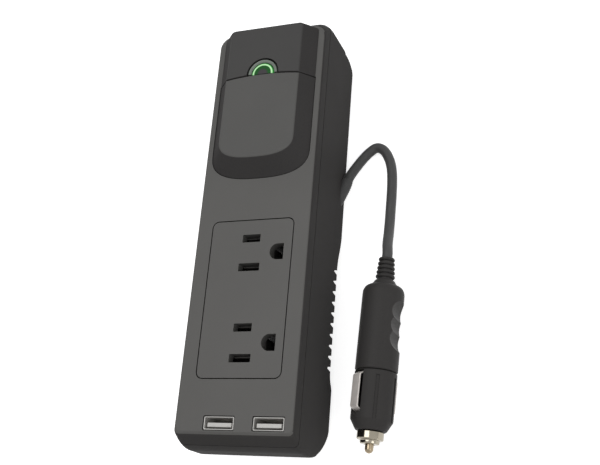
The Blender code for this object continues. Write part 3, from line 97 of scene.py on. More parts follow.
# Finer sizes of the shells
EXTRA_HEIGHTS = [height * MM for height in (0.4, 1.2, 27.0, 30.0, 35.0)]  # rings that smooth the ends
CREASE_RUN = 0.3 * MM
GRIP_ROUND = 2.5 * MM
LOUVRE_SIDE = 6.0 * MM  # a groove is deeper within this of the sides
LOUVRE_SIDE_DEPTH = 4.4 * MM
LOUVRE_DEPTH = 2.0 * MM
LOUVRE_ROOT = 0.35 * MM  # half width at its deepest
VENT_ROUND = 0.98  # how round the vents' ends are, below 1 so that their points stay apart
BOSS_RADIUS = 4.2 * MM
WELL_RADIUS = 2.9 * MM
WELL_DEPTH = 4.8 * MM
SHANK_RADIUS = 1.6 * MM

# Finer sizes of the cap and its status arch
FOOT_ROUND = 12.5 * MM
FACE_ROUND = 9.0 * MM
CAP_POWER = 2 / 2.7  # makes the foot's outline fuller than an ellipse
CAP_WALL = 2.0 * MM
CAP_EDGE = 0.55 * MM
CAP_SOFT = 0.6  # share of the soft edge that the cap has
CAP_FOOT_DEPTH = 4.4 * MM
POST_RADIUS = 3.0 * MM
CROWN_CORNER = 1.6 * MM
ARCH_POCKET_MARGIN = 0.7 * MM
ARCH_POCKET_DEPTH = 3.7 * MM
SLOPE_LEAN = 0.86  # upward share of the normal below which a face counts as sloping

# Finer sizes of the outlets and the ports
PANEL_PLAY = 1.5  # clearance round the outlet panel, in gaps
FLANGE = 1.5 * MM
FLANGE_THICK = 1.9 * MM
BLADE_SLOTS = ((6.35 * MM, 8.1 * MM), (-6.35 * MM, 9.5 * MM))  # (place, length)
SLOT_HALF = 1.725 * MM
SLOT_CORNER = 0.3 * MM
PIN_FLAT = 15.0 * MM  # flat side of the ground hole
PIN_RADIUS = 3.5 * MM
PIN_MIDDLE = 2.7 * MM  # from the flat side to the middle of the round one
PORT_HOLE_CORNER = 0.5 * MM
PORT_SHEET = 0.45 * MM
TONGUE_STEP = 2.4 * MM
TONGUE_INSET = 0.5 * MM
BLADE_THICK = 1.7 * MM
TONGUE_EDGE = 0.2 * MM
STRIPS = 4
STRIP_PITCH = 2.3 * MM
STRIP_HALF = 0.5 * MM
STRIP_SINK = 0.1 * MM
STRIP_RISE = 0.12 * MM
STRIP_END = 1.1 * MM
STRIP_EDGE = 0.05 * MM

# Places and finer sizes of the lead and the plug
RELIEF_PLACE = (26.9 * MM, 6.2 * MM)  # along the side and above the back
RELIEF_HEADING = math.radians(66.0 - 90.0)
PLUG_PLACE = (49.1 * MM, -9.4 * MM, 9.41 * MM)
PLUG_HEADING = math.radians(-2.55)
BOOT_RINGS = 5
BOOT_PITCH = 1.95 * MM
BOOT_RADIUS = 3.5 * MM
BOOT_GROWTH = 0.16 * MM
BOOT_MOUTH = 2.6 * MM
BOOT_REAR = 5.6 * MM
HANDLE_NECK = 6.2 * MM
HANDLE_SHOULDER = 3.6 * MM
HANDLE_EDGE = 0.3 * MM
HANDLE_BORE = 5.3 * MM
BORE_DEPTH = 13.8 * MM
FINGER_START = 8.8 * MM
FINGER_PITCH = 5.9 * MM
FINGER_DEPTH = 2.6 * MM
FINGER_RADIUS = 6.0 * MM
FINGER_STEPS = 72
TOOL_REACH = 20 * MM  # cutting tools end here, well outside the plug
NECK_RADIUS = 5.0 * MM
NECK_LENGTH = 13.5 * MM
NECK_WALL = 2.2 * MM
FUSE_BORE = 3.4 * MM
LEAF_POCKET_MARGIN = 0.5 * MM
LEAF_POCKET_DEPTH = 3.7 * MM
LEAF_POCKET_SPAN = (0.3 * MM, 17.7 * MM)
FLUTE_DEPTH = 0.5 * MM
FLUTE_HALF = 0.75 * MM
FLUTE_START = 2.2 * MM
BARREL_EDGE = 0.18 * MM
LEAF_START = 1.1 * MM
LEAF_LENGTH = 16.4 * MM
LEAF_THICK = 0.7 * MM
LEAF_EDGE = 0.16 * MM
TIP_BORE_GAP = 0.35 * MM
TIP_FLANGE = 3.0 * MM
TIP_FLANGE_THICK = 2.0 * MM
TIP_FLANGE_DEPTH = 2.3 * MM
TIP_REACH = 3.6 * MM

# Profiles in millimetres, as (out from a radius, along from a start)
BEZEL_OUTSIDE = ((0.0, -3.4), (0.0, -0.45), (-0.15, -0.15), (-0.5, 0.0))
BEZEL_INSIDE = ((0.4, -0.1), (0.0, -0.5), (0.0, -3.4))
RELIEF_PROFILE = ((2.9, -15.0), (2.9, 0.0), (2.8, 1.6), (2.65, 3.0), (2.5, 4.0), (2.36, 4.2))
BOOT_RING = ((-0.25, 0.0), (0.0, 0.3), (0.0, 0.85), (-0.25, 1.15), (-0.95, 1.25), (-0.90, 1.85))
BOOT_FOOT = ((4.4, 10.4), (5.0, 11.4))
HANDLE_END = ((0.0, -0.5), (-0.4, 0.0))
BARREL_FOOT = ((-0.4, 0.0), (0.0, 0.4))
BARREL_SHOULDER = ((0.0, -0.6), (-0.1, 0.0), (-0.5, 0.6))
BARREL_END = ((6.7, -0.4), (6.3, 0.0))
LEAF_RISE = ((-1.5, 0.0), (-0.7, 0.5), (0.25, 1.15), (0.75, 1.5), (0.95, 2.1))
NOSE_OUTSIDE = (
    (-2.2, 0.0), (-0.3, 0.0), (0.0, 0.3), (0.0, 2.9), (-0.25, 3.35), (-0.6, 3.5), (-1.25, 3.55), (-1.5, 3.8),
    (-1.5, 4.6), (-1.7, 4.98), (-2.0, 5.1),
)
NOSE_INSIDE = ((0.25, 0.0), (0.0, -0.25), (0.0, -2.0))

# Status lens as (share of its radius, millimetres below the cap's top)
LENS_PROFILE = ((1.0, 3.4), (1.0, 0.7), (0.97, 0.45), (0.90, 0.3), (0.6, 0.2), (0.25, 0.18))

# Mouth of a port as (share of the sheet drawn in, millimetres above the shell's end, corner in millimetres)
PORT_MOUTH = ((0.0, 0.0, 0.6), (0.4, 0.12, 0.5), (0.9, 0.0, 0.4), (1.0, -0.3, 0.35))


def length(name, description, millimetres, low=0.0):
    return FloatProperty(name=name, description=description, default=millimetres * MM, min=low * MM,
                         unit="LENGTH", precision=5)


def count(name, description, value):
    return IntProperty(name=name, description=description, default=value, min=1)


def power(name, description, watts):
    return FloatProperty(name=name, description=description, default=watts, min=0.0, unit="POWER")


def share(name, description, value):
    return FloatProperty(name=name, description=description, default=value, min=0.0, max=1.0,
                         subtype="FACTOR")


def colour(name, description, value):
    return FloatVectorProperty(name=name, description=description, default=value, size=3, min=0.0, max=1.0,
                               subtype="COLOR")


def angle(name, description, degrees):
    return FloatProperty(name=name, description=description, default=math.radians(degrees), subtype="ANGLE")


class HousingSizes(bpy.types.PropertyGroup):
    """Sizes of the housing, the cap, the outlets and the ports."""

    width: length("Width", "Width of the housing", 52.0)
    length: length("Length", "Length of the housing", 193.0)
    depth: length("Depth", "Depth of the housing without its cap", 44.0)
    wall: length("Wall", "Wall of both shells", 2.2)
    top_corner: length("Top corner", "Radius of the upright corners at the top end", 5.5)
    bottom_corner: length("Bottom corner", "Radius of the upright corners at the bottom end", 2.2)
    front_round: length("Front rounding", "Rounding along the front edge", 1.2)
    cover: length("Cover depth", "Depth of the front cover's skirt", 6.0)
    seam: length("Seam", "Groove between the two shells", 0.5)
    gap: length("Gap", "Clearance between fitted pieces", 0.3)
    lip: length("Lip height", "Height of the rear shell's lip behind the seam", 1.2)
    lip_inset: length("Lip inset", "How far the lip stands in from the outside", 1.4)
    top_setback: length("Top setback", "How far the top end leans back to the front", 6.0)
    top_dome: length("Top dome depth", "Depth over which the top end leans back", 12.0)
    bottom_setback: length("Bottom setback", "How far the bottom end leans back to the front", 5.0)
    bottom_dome: length("Bottom dome depth", "Depth over which the bottom end leans back", 13.0)
    top_rear_length: length("Top rear rounding length", "Length of the rounding behind the top end", 9.5)
    top_rear_height: length("Top rear rounding height", "Height of the rounding behind the top end", 12.0)
    bottom_rear: length("Bottom rear rounding", "Radius of the rounding behind the bottom end", 22.0)
    rear_round: length("Rear rounding", "Rounding along the long rear edges", 4.0)
    crease: length("Crease height", "Height of the crease along the sides", 16.0)
    crease_step: length("Crease step", "Step at the crease", 0.5)
    soft_edge: length("Soft edge", "Rounding of moulded edges", 0.25)
    grip_depth: length("Grip depth", "Depth of the hollow for the fingers", 6.4)
    grip_start: length("Grip start", "Lower end of the hollow's floor", -61.5, -100.0)
    grip_length: length("Grip length", "Length of the hollow's floor", 52.0)
    grip_lower: length("Lower ramp", "Length of the hollow's lower ramp", 8.0)
    grip_upper: length("Upper ramp", "Length of the hollow's upper ramp", 23.0)
    grip_wall: length("Grip wall", "Wall behind the hollow", 5.6)
    louvres: count("Louvres", "Grooves across the grip", 10)
    louvre_pitch: length("Louvre pitch", "Distance between grooves", 4.84)
    louvre_width: length("Louvre width", "Width of a groove", 2.8)
    vent_length: length("Vent length", "Length of the slot in each groove", 30.0)
    vent_width: length("Vent width", "Width of the slot in each groove", 1.5)
    cap_height: length("Cap height", "Height of the raised cap", 6.3)
    cap_margin: length("Cap margin", "Front face left beside the cap", 3.2)
    cap_slope: length("Cap slope", "Width of the cap's sloping sides", 5.5)
    cap_seam: length("Cap seam", "Place of the seam across the cap", 64.1)
    seam_rise: length("Seam rise", "Rise of the cap's seam in its middle", 1.4)
    cap_end: length("Cap end", "Place of the cap's upper end", 89.5)
    cap_foot: length("Cap foot", "Place of the cap's lower end at the face", 17.9)
    cap_face: length("Cap face", "Place of the lower end of the cap's top", 25.3)
    arch: length("Arch radius", "Radius of the status arch's bezel", 6.9)
    lens: length("Lens radius", "Radius of the status arch's lens", 5.2)
    lens_drop: length("Lens drop", "How far the lens reaches below the bezel's foot", 0.2)
    panel_width: length("Panel width", "Width of the outlet panel", 36.9)
    panel_length: length("Panel length", "Length of the outlet panel", 67.4)
    panel_corner: length("Panel corner", "Corner radius of the outlet panel", 2.6)
    panel_middle: length("Panel middle", "Place of the panel's middle", -35.5, -100.0)
    outlet_pitch: length("Outlet pitch", "Distance between the two outlets", 38.6)
    usb_width: length("USB width", "Width of a USB shell", 13.1)
    usb_height: length("USB height", "Height of a USB shell", 5.3)
    coil: length("Coil radius", "Radius of the push panel's springs", 2.8)
    coil_wire: length("Coil wire", "Wire of the push panel's springs", 0.7)
    coil_turns: count("Coil turns", "Turns of the push panel's springs", 6)


class LeadSizes(bpy.types.PropertyGroup):
    """Sizes of the lead and of its plug."""

    cord: length("Cord diameter", "Diameter of the cord", 4.6)
    cord_length: length("Cord length", "Length of the cord between its fittings", 85.0)
    gap: length("Gap", "Clearance along the plug between its pieces", 0.3)
    boot: length("Boot length", "Length of the plug's ringed boot", 12.4)
    handle: length("Handle radius", "Radius of the plug's handle", 9.0)
    handle_length: length("Handle length", "Length of the plug's handle", 37.1)
    barrel: length("Barrel radius", "Radius of the plug's barrel", 8.9)
    barrel_length: length("Barrel length", "Length of the barrel's straight part", 20.2)
    barrel_taper: length("Barrel taper", "Length of the barrel's tapered end", 4.0)
    flutes: count("Flutes", "Grooves along the barrel", 6)
    fingers: count("Finger hollows", "Hollows across the handle", 3)
    leaf_width: length("Leaf width", "Width of a ground spring", 4.8)
    leaf_turn: angle("Leaf turn", "Turn of the upper ground spring about the plug", 127.0)
    nose: length("Nose radius", "Radius of the plated nose ring", 5.6)
    nose_length: length("Nose length", "Length of the plated nose ring", 5.1)
    tip: length("Tip radius", "Radius of the brass tip", 1.8)
    coil: length("Coil radius", "Radius of the spring behind the fuse", 2.2)
    coil_wire: length("Coil wire", "Wire of the spring behind the fuse", 0.6)
    coil_start: length("Coil start", "Place of the spring behind the fuse along the plug", 38.8)
    coil_length: length("Coil length", "Length of the spring behind the fuse", 16.0)
    coil_turns: count("Coil turns", "Turns of the spring behind the fuse", 5)


class InverterColours(bpy.types.PropertyGroup):
    """Colours of the finishes."""

    front: colour("Front", "Moulded front cover", (0.085, 0.083, 0.079))
    cap: colour("Cap", "Lower half of the cap", (0.069, 0.068, 0.065))
    # Partly the shell's own colour and partly painted shade: darker than the front so that the sides look
    # shaded
    rear: colour("Rear", "Moulded rear shell", (0.052, 0.050, 0.049))
    crown: colour("Crown", "Upper half of the cap", (0.037, 0.036, 0.035))
    # Painted shade: a darker copy of the plastic for faces that lean away from the front, so that they look
    # shaded
    slope: colour("Slope", "Sloping sides of the cover and the cap", (0.050, 0.048, 0.0475))
    rim: colour("Rim", "Bezel of the status arch", (0.155, 0.180, 0.155))
    glow: colour("Glow", "Lit edge of the status arch", (0.36, 0.62, 0.33))
    deep_green: colour("Deep green", "Unlit middle of the status arch", (0.010, 0.075, 0.014))
    steel: colour("Steel", "Bright plated steel", (0.54, 0.53, 0.51))
    leaf: colour("Leaf", "Satin ground springs", (0.82, 0.77, 0.73))
    nose: colour("Nose", "Plated nose ring", (0.34, 0.31, 0.25))
    brass: colour("Brass", "Brass tip and port contacts", (0.32, 0.26, 0.18))
    # Painted shade: the contacts are darkened to stand in for the shade inside the outlet slots
    bronze: colour("Bronze", "Darkened outlet contacts", (0.045, 0.042, 0.040))
    pale: colour("Pale", "Pale port tongues", (0.54, 0.53, 0.51))
    rubber: colour("Rubber", "Jacket of the lead", (0.064, 0.064, 0.064))
    plug: colour("Plug", "Moulded plug", (0.047, 0.045, 0.044))
    board: colour("Board", "Circuit boards", (0.020, 0.130, 0.055))
    tape: colour("Tape", "Tape round the transformer", (0.62, 0.47, 0.08))
    sleeve: colour("Sleeve", "Sleeve of the capacitors", (0.020, 0.035, 0.110))
    aluminium: colour("Aluminium", "Heat sinks", (0.66, 0.67, 0.68))
    copper: colour("Copper", "Choke winding", (0.72, 0.36, 0.18))
    dark: colour("Dark", "Dark inner mouldings", (0.018, 0.018, 0.018))
    ferrite: colour("Ferrite", "Transformer core", (0.055, 0.055, 0.057))
    glass: colour("Glass", "Fuse tube", (0.80, 0.85, 0.85))


class StageSettings(bpy.types.PropertyGroup):
    """Camera, lights and floor."""

    eye: FloatVectorProperty(name="Eye", description="Place of the camera", size=3, subtype="TRANSLATION",
                             unit="LENGTH", default=(0.1622102, -0.1432056, 0.3840737))
    tilt: angle("Tilt", "Camera's turn about X", 21.87052)
    bank: angle("Bank", "Camera's turn about Y", 20.73644)
    swing: angle("Swing", "Camera's turn about Z", 4.78836)
    lens: FloatProperty(name="Lens", description="Focal length", default=57.0, min=1.0, unit="CAMERA")
    key: power("Key light", "Power of the large soft light", 14.6)
    side: power("Side light", "Power of the soft light at the right", 4.0)
    fill: share("Fill light", "Strength of the surrounding light", 0.42)
    floor: share("Floor glow", "How white the floor looks by itself", 0.8)


def sizes():
    return bpy.context.scene.inverter_sizes


def lead_sizes():
    return bpy.context.scene.inverter_lead


def colours():
    return bpy.context.scene.inverter_colours


# Modelling steps

def clear_selection():
    """Leaves edit mode and selects nothing."""
    if bpy.context.object is not None and bpy.context.object.mode != "OBJECT":
        bpy.ops.object.mode_set(mode="OBJECT")
    bpy.ops.object.select_all(action="DESELECT")


def make_active(piece, *others):
    """Selects a piece, with others if given, and makes it the active one."""
    clear_selection()
    for item in (piece, *others):
        item.select_set(True)
    bpy.context.view_layer.objects.active = piece


def move_ring(piece, ring):
    """Moves the selected points onto a ring of places, each by its own number."""
    shape = bmesh.from_edit_mesh(piece.data)
    order = shape.verts.layers.int["order"]
    for vert in shape.verts:
        if vert.select:
            vert.co = ring[vert[order]]
    bmesh.update_edit_mesh(piece.data)


def close_hoop(piece, points):
    """Opens both ends of a lofted hoop, which have this many points, and merges them."""
    bpy.ops.mesh.select_all(action="DESELECT")
    shape = bmesh.from_edit_mesh(piece.data)
    for face in shape.faces:
        face.select_set(len(face.verts) == points)
    bmesh.update_edit_mesh(piece.data)
    bpy.ops.mesh.delete(type="ONLY_FACE")
    bpy.ops.mesh.select_all(action="SELECT")
    bpy.ops.mesh.remove_doubles(threshold=NEAR)


def loft(name, rings, hoop=False):
    """Adds a filled circle, moves it onto the first ring and extrudes it onto each of the others.

    A hoop ends on its first ring and is closed there.
    """
    clear_selection()
    bpy.ops.mesh.primitive_circle_add(vertices=len(rings[0]), radius=MM, fill_type="NGON")
    piece = bpy.context.object
    piece.name = name
    piece.data.name = name
    bpy.ops.object.mode_set(mode="EDIT")
    bpy.ops.mesh.select_mode(type="FACE")
    bpy.ops.mesh.select_all(action="SELECT")
    shape = bmesh.from_edit_mesh(piece.data)
    order = shape.verts.layers.int.new("order")
    shape.faces.ensure_lookup_table()
    for index, vert in enumerate(shape.faces[0].verts):
        vert[order] = index
    move_ring(piece, rings[0])
    for ring in rings[1:] + (rings[:1] if hoop else []):
        bpy.ops.mesh.extrude_region_move()
        move_ring(piece, ring)
    if hoop:
        close_hoop(piece, len(rings[0]))
    bpy.ops.mesh.select_all(action="SELECT")
    bpy.ops.mesh.normals_make_consistent(inside=False)
    bpy.ops.object.mode_set(mode="OBJECT")
    return piece


def level_at(edge, height):
    """Whether an edge lies at one height."""
    return all(abs(vert.co.z - height) < NEAR for vert in edge.verts)


def round_edges(piece, test, offset, segments):
    """Rounds the edges that pass a test."""
    make_active(piece)
    bpy.ops.object.mode_set(mode="EDIT")
    bpy.ops.mesh.select_mode(type="EDGE")
    bpy.ops.mesh.select_all(action="DESELECT")
    shape = bmesh.from_edit_mesh(piece.data)
    for edge in shape.edges:
        edge.select_set(test(edge))
    bmesh.update_edit_mesh(piece.data)
    bpy.ops.mesh.bevel(offset=offset, segments=segments, affect="EDGES", clamp_overlap=True)
    bpy.ops.object.mode_set(mode="OBJECT")


def apply_modifier(piece, modifier):
    make_active(piece)
    bpy.ops.object.modifier_apply(modifier=modifier.name)


def combine(piece, tool, operation="DIFFERENCE"):
    """Cuts or joins a piece with a tool, which is used up."""
    modifier = piece.modifiers.new(tool.name, "BOOLEAN")
    modifier.operation = operation
    modifier.solver = "EXACT"
    modifier.object = tool
    apply_modifier(piece, modifier)
    bpy.data.objects.remove(tool, do_unlink=True)


def tidy_faces(piece):
    """Merges points that meet and faces that lie in one plane."""
    make_active(piece)
    bpy.ops.object.mode_set(mode="EDIT")
    bpy.ops.mesh.select_all(action="SELECT")
    bpy.ops.mesh.remove_doubles(threshold=2 * NEAR)
    bpy.ops.mesh.dissolve_limited(angle_limit=FLAT)
    bpy.ops.object.mode_set(mode="OBJECT")


def soften(piece, width, segments=2, limit=40.0):
    """Rounds every edge sharper than a limit in degrees."""
    modifier = piece.modifiers.new("soft_edges", "BEVEL")
    modifier.width = width
    modifier.segments = segments
    modifier.limit_method = "ANGLE"
    modifier.angle_limit = math.radians(limit)
    modifier.use_clamp_overlap = True
    apply_modifier(piece, modifier)


def twin_of(piece, name):
    """Copy of a piece with its own mesh."""
    twin = bpy.data.objects.new(name, piece.data.copy())
    bpy.context.scene.collection.objects.link(twin)
    return twin


def join_copies(piece, moves):
    """Copies a piece by each of the moves and joins the copies to it."""
    twins = []
    for move in moves:
        twins.append(twin_of(piece, piece.name))
        twins[-1].data.transform(move)
    make_active(piece, *twins)
    bpy.ops.object.join()
    return piece


def place(piece, matrix):
    """Moves a piece and puts its place into its mesh."""
    make_active(piece)
    piece.matrix_world = matrix
    bpy.ops.object.transform_apply(location=True, rotation=True, scale=True)


def give(piece, *finishes):
    """Gives a piece its finishes by name, the first of them all over."""
    for finish in finishes:
        piece.data.materials.append(finish_named(finish))


def paint_shade_on_slopes(piece):
    """Gives the second finish to faces that lean well away from the front, painting shade on them."""
    for face in piece.data.polygons:
        if face.normal.z < SLOPE_LEAN:
            face.material_index = 1


def dress(piece, body, slot, nodes, smooth=35.0):
    """Shades a piece and sets it on its body in place of its nodes.

    Its finish is the one named as its slot, unless it was given others.
    """
    make_active(piece)
    bpy.ops.object.shade_smooth_by_angle(angle=math.radians(smooth))
    if not piece.data.materials:
        give(piece, slot)
    shading = piece.modifiers.new("even_shading", "WEIGHTED_NORMAL")
    shading.keep_sharp = True
    apply_modifier(piece, shading)
    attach(piece, body)
    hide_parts(*nodes)
    clear_selection()


# Outlines

def arc(centre, radius, start, end, steps):
    """Points along an arc, with its angles in degrees."""
    points = []
    for step in range(steps + 1):
        turn = math.radians(start + (end - start) * step / steps)
        points.append((centre[0] + radius * math.cos(turn), centre[1] + radius * math.sin(turn)))
    return points


def full_circle(centre, radius, segments):
    """Points round a circle, the first not repeated."""
    return arc(centre, radius, 0, 360 - 360 / segments, segments - 1)


def rounded(left, right, bottom, top, radius, steps=8, bottom_radius=None):
    """Rounded rectangle, anticlockwise from its lower right corner, with its own radius below if given."""
    points = []
    low_radius = radius if bottom_radius is None else bottom_radius
    for x, y, start in ((right, bottom, 270), (right, top, 0), (left, top, 90), (left, bottom, 180)):
        turn = radius if y == top else low_radius
        centre_x = x - turn if x == right else x + turn
        centre_y = y - turn if y == top else y + turn
        points += arc((centre_x, centre_y), turn, start, start + 90, steps)
    return points


def oblong(x, y, half_x, half_y, radius, steps=8):
    """Rounded rectangle about a middle."""
    return rounded(x - half_x, x + half_x, y - half_y, y + half_y, radius, steps)


def drawn(profile, radius=0.0, start=0.0):
    """Profile in metres, measured out from a radius and along from a start."""
    return [(radius + out * MM, start + along * MM) for out, along in profile]


def at_height(outline, height):
    return [(x, y, height) for x, y in outline]


def prism(name, outline, low, high):
    """Piece with one outline from a lower to an upper height."""
    return loft(name, [at_height(outline, low), at_height(outline, high)])


def turned(name, profile, segments, centre=(0.0, 0.0), hoop=False):
    """Piece turned about an axis along Z from (radius, height) pairs."""
    rings = [at_height(full_circle(centre, radius, segments), height) for radius, height in profile]
    return loft(name, rings, hoop)


def block(name, low, high):
    """Box between two corners."""
    base = [(low[0], low[1]), (high[0], low[1]), (high[0], high[1]), (low[0], high[1])]
    return prism(name, base, low[2], high[2])


def quarter_round(distance, reach, setback):
    """How far an elliptical rounding draws in at a distance from its deepest place."""
    if distance >= reach:
        return 0.0
    return setback * (1 - math.sqrt(max(0.0, 1 - (1 - distance / reach) ** 2)))


def dome(depth, reach, setback):
    """How far a leaning end draws back at a depth below the front."""
    if depth >= reach:
        return 0.0
    return setback * (1 - depth / reach) ** 2


def body_ring(height, inset=0.0):
    """Outline of the housing at a height above its back."""
    size = sizes()
    depth = size.depth - height
    edge = quarter_round(depth, size.front_round, size.front_round) + inset
    crease = size.crease_step if height < size.crease - NEAR else 0.0
    side = size.width / 2 - edge - crease - quarter_round(height, size.rear_round, size.rear_round)
    top = size.length / 2 - edge - dome(depth, size.top_dome, size.top_setback)
    top -= quarter_round(height, size.top_rear_height, size.top_rear_length)
    bottom = size.length / 2 - edge - dome(depth, size.bottom_dome, size.bottom_setback)
    bottom -= quarter_round(height, size.bottom_rear, size.bottom_rear)
    top_corner, bottom_corner = (max(radius - inset, MM) for radius in (size.top_corner, size.bottom_corner))
    return at_height(rounded(-side, side, -bottom, top, top_corner, bottom_radius=bottom_corner), height)


def seam_points(half, seam):
    """Cap's seam from right to left, risen a little in its middle."""
    steps = 16
    shares = [1 - 2 * step / steps for step in range(steps + 1)]
    return [(share * half, seam + sizes().seam_rise * (1 - share ** 2)) for share in shares]


def cap_outline(half, end, reach, seam, grow=0.0):
    """Tongue of the cap: square at the seam, rounded at its lower end."""
    steps = 40
    points = []
    for step in range(steps + 1):
        turn = math.pi * step / steps
        x = math.copysign(abs(math.cos(turn)) ** CAP_POWER, -math.cos(turn)) * (half + grow)
        y = end + reach - abs(math.sin(turn)) ** CAP_POWER * (reach + grow)
        points.append((x, y))
    return points + seam_points(half + grow, seam + grow)


def cap_halves():
    """Half widths of the cap at its foot and on top."""
    size = sizes()
    foot = size.width / 2 - size.cap_margin
    return foot, foot - size.cap_slope


def cap_top():
    """Height of the cap's top."""
    return sizes().depth + sizes().cap_height


def arch_seam():
    """Place of the status arch's foot on the cap's seam."""
    size = sizes()
    return size.cap_seam + size.gap / 2 + size.seam_rise


def panel_outline(grow=0.0):
    """Outline of the outlet panel, grown all round."""
    size = sizes()
    return oblong(0.0, size.panel_middle, size.panel_width / 2 + grow, size.panel_length / 2 + grow,
                  size.panel_corner + grow)


def middle_of(node):
    """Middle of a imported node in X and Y."""
    low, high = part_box(node)
    return (low[0] + high[0]) / 2, (low[1] + high[1]) / 2


def plug_places():
    """Places along the plug: handle's start and end, barrel's start, end of its straight part and end."""
    lead = lead_sizes()
    return list(accumulate((lead.boot + lead.gap, lead.handle_length, lead.gap, lead.barrel_length,
                            lead.barrel_taper)))


def relief_matrix():
    """Place of the strain relief: its Z runs out along the cord."""
    lean = Matrix.Rotation(math.radians(-90), 4, "X")
    turn = Matrix.Rotation(RELIEF_HEADING, 4, "Z") @ lean
    return Matrix.Translation((sizes().width / 2, *RELIEF_PLACE)) @ turn


def relief_shape(name, grow=0.0):
    """Smooth tapered strain relief, or the hole for it when grown."""
    piece = turned(name, drawn(RELIEF_PROFILE, grow), segments=32)
    place(piece, relief_matrix())
    return piece


def plug_matrix():
    """Place of the plug: its Z runs from the end of its boot to its tip."""
    lean = Matrix.Rotation(math.radians(90), 4, "X")
    return Matrix.Translation(PLUG_PLACE) @ Matrix.Rotation(PLUG_HEADING, 4, "Z") @ lean


# Finishes

class NodeTree:
    """Tree of shader nodes that are added and joined in short calls."""

    def __init__(self, tree):
        self.tree = tree

    def put(self, socket, value):
        """Joins a socket to another one, or sets it to a number, vector or colour."""
        if isinstance(value, bpy.types.NodeSocket):
            self.tree.links.new(value, socket)
        elif socket.type == "RGBA":
            socket.default_value = (*value, 1.0)
        else:
            socket.default_value = value

    def node(self, kind, settings=None, **inputs):
        made = self.tree.nodes.new(kind)
        for key, value in (settings or {}).items():
            setattr(made, key, value)
        for key, value in inputs.items():
            self.put(made.inputs[key.replace("_", " ")], value)
        return made

    def pair(self, kind, operation, first, second):
        """Result of an operation on two values."""
        made = self.node(kind, {"operation": operation})
        self.put(made.inputs[0], first)
        self.put(made.inputs[1], second)
        return made.outputs["Value"]


class Finish(NodeTree):
    """Material whose patterns lie in the piece's own coordinates."""

    made = {}

    def __init__(self, name):
        self.material = bpy.data.materials.new(name)
        self.material.use_nodes = True
        super().__init__(self.material.node_tree)
        self.shader = self.tree.nodes["Principled BSDF"]
        self.coords = self.node("ShaderNodeTexCoord").outputs["Object"]
        Finish.made[name] = self.material

    def set(self, **values):
        """Sets or joins the shader's sockets."""
        for key, value in values.items():
            self.put(self.shader.inputs[key.replace("_", " ")], value)

    def mapped(self, scale, shift=(0.0, 0.0, 0.0)):
        """Piece's own coordinates, scaled and shifted."""
        made = self.node("ShaderNodeMapping", Vector=self.coords, Scale=scale, Location=shift)
        return made.outputs["Vector"]

    def noise(self, scale, detail=3.0, rough=0.55, vector=None):
        source = vector if vector is not None else self.coords
        made = self.node("ShaderNodeTexNoise", Vector=source, Scale=scale, Detail=detail, Roughness=rough)
        return made.outputs["Fac"]

    def ramp(self, factor, stops):
        """Colour from (position, colour) stops."""
        made = self.node("ShaderNodeValToRGB", Fac=factor)
        band = made.color_ramp
        while len(band.elements) < len(stops):
            band.elements.new(0.5)
        for element, (position, value) in zip(band.elements, stops):
            element.position = position
            element.color = (*value, 1.0)
        return made.outputs["Color"]

    def cloud(self, factor, base, low, high):
        """Colour that goes from a darker to a paler shade of its base."""
        return self.ramp(factor, [(0.3, shade_of(base, low)), (0.7, shade_of(base, high))])

    def spread(self, factor, low, high, start=0.0, end=1.0):
        """Value from low to high as the factor goes from start to end."""
        made = self.node("ShaderNodeMapRange", Value=factor, From_Min=start, From_Max=end, To_Min=low,
                         To_Max=high)
        return made.outputs["Result"]

    def mix(self, factor, first, second):
        """Colour between two colours."""
        made = self.node("ShaderNodeMix", {"data_type": "RGBA"}, Factor=factor)
        self.put(made.inputs[6], first)
        self.put(made.inputs[7], second)
        return made.outputs[2]

    def edges(self, worn):
        """Patchy mask along edges, found where a rounded normal leaves the surface's own."""
        rounded_off = self.node("ShaderNodeBevel", {"samples": 6}, Radius=0.4 * MM).outputs["Normal"]
        own = self.node("ShaderNodeNewGeometry").outputs["Normal"]
        lean = self.pair("ShaderNodeVectorMath", "DOT_PRODUCT", rounded_off, own)
        rub = self.spread(lean, worn, 0.0, start=0.90, end=0.99)
        patch = self.spread(self.noise(220.0, detail=2.0), 0.3, 1.0, start=0.4, end=0.6)
        return self.pair("ShaderNodeMath", "MULTIPLY", rub, patch)

    def bump(self, height, strength, distance):
        made = self.node("ShaderNodeBump", Height=height, Strength=strength, Distance=distance)
        self.set(Normal=made.outputs["Normal"])


def shade_of(value, factor):
    """Colour made darker or paler."""
    return tuple(min(1.0, channel * factor) for channel in value)


def moulded(name, base, grain=1500.0, rough=(0.42, 0.56), strength=0.12, level=0.3, spread=0.07, worn=0.25):
    """Spark-textured moulded plastic with slightly paler edges."""
    finish = Finish(name)
    broad = finish.noise(28.0, detail=4.0)
    fine = finish.noise(grain, detail=2.0, rough=0.6)
    cloud = finish.cloud(broad, base, 1 - spread, 1 + spread)
    speck = finish.ramp(fine, [(0.35, shade_of(base, 0.9)), (0.65, shade_of(base, 1.1))])
    both = finish.mix(0.35, cloud, speck)
    finish.set(Base_Color=finish.mix(finish.edges(worn), both, shade_of(base, 1.9)),
               Roughness=finish.spread(fine, *rough, start=0.3, end=0.7),
               Specular_IOR_Level=level)
    finish.bump(fine, strength, distance=0.05 * MM)
    return finish.material


def plated(name, base, rough=(0.12, 0.30), scale=(60.0, 900.0, 60.0), metal=1.0):
    """Bright metal with fine drawn lines and a little tarnish."""
    finish = Finish(name)
    lines = finish.noise(1.0, detail=4.0, rough=0.6, vector=finish.mapped(scale))
    finish.set(Base_Color=finish.cloud(finish.noise(140.0), base, 0.86, 1.06),
               Roughness=finish.spread(lines, *rough, start=0.3, end=0.7),
               Metallic=metal)
    finish.bump(lines, strength=0.08, distance=0.03 * MM)
    return finish.material


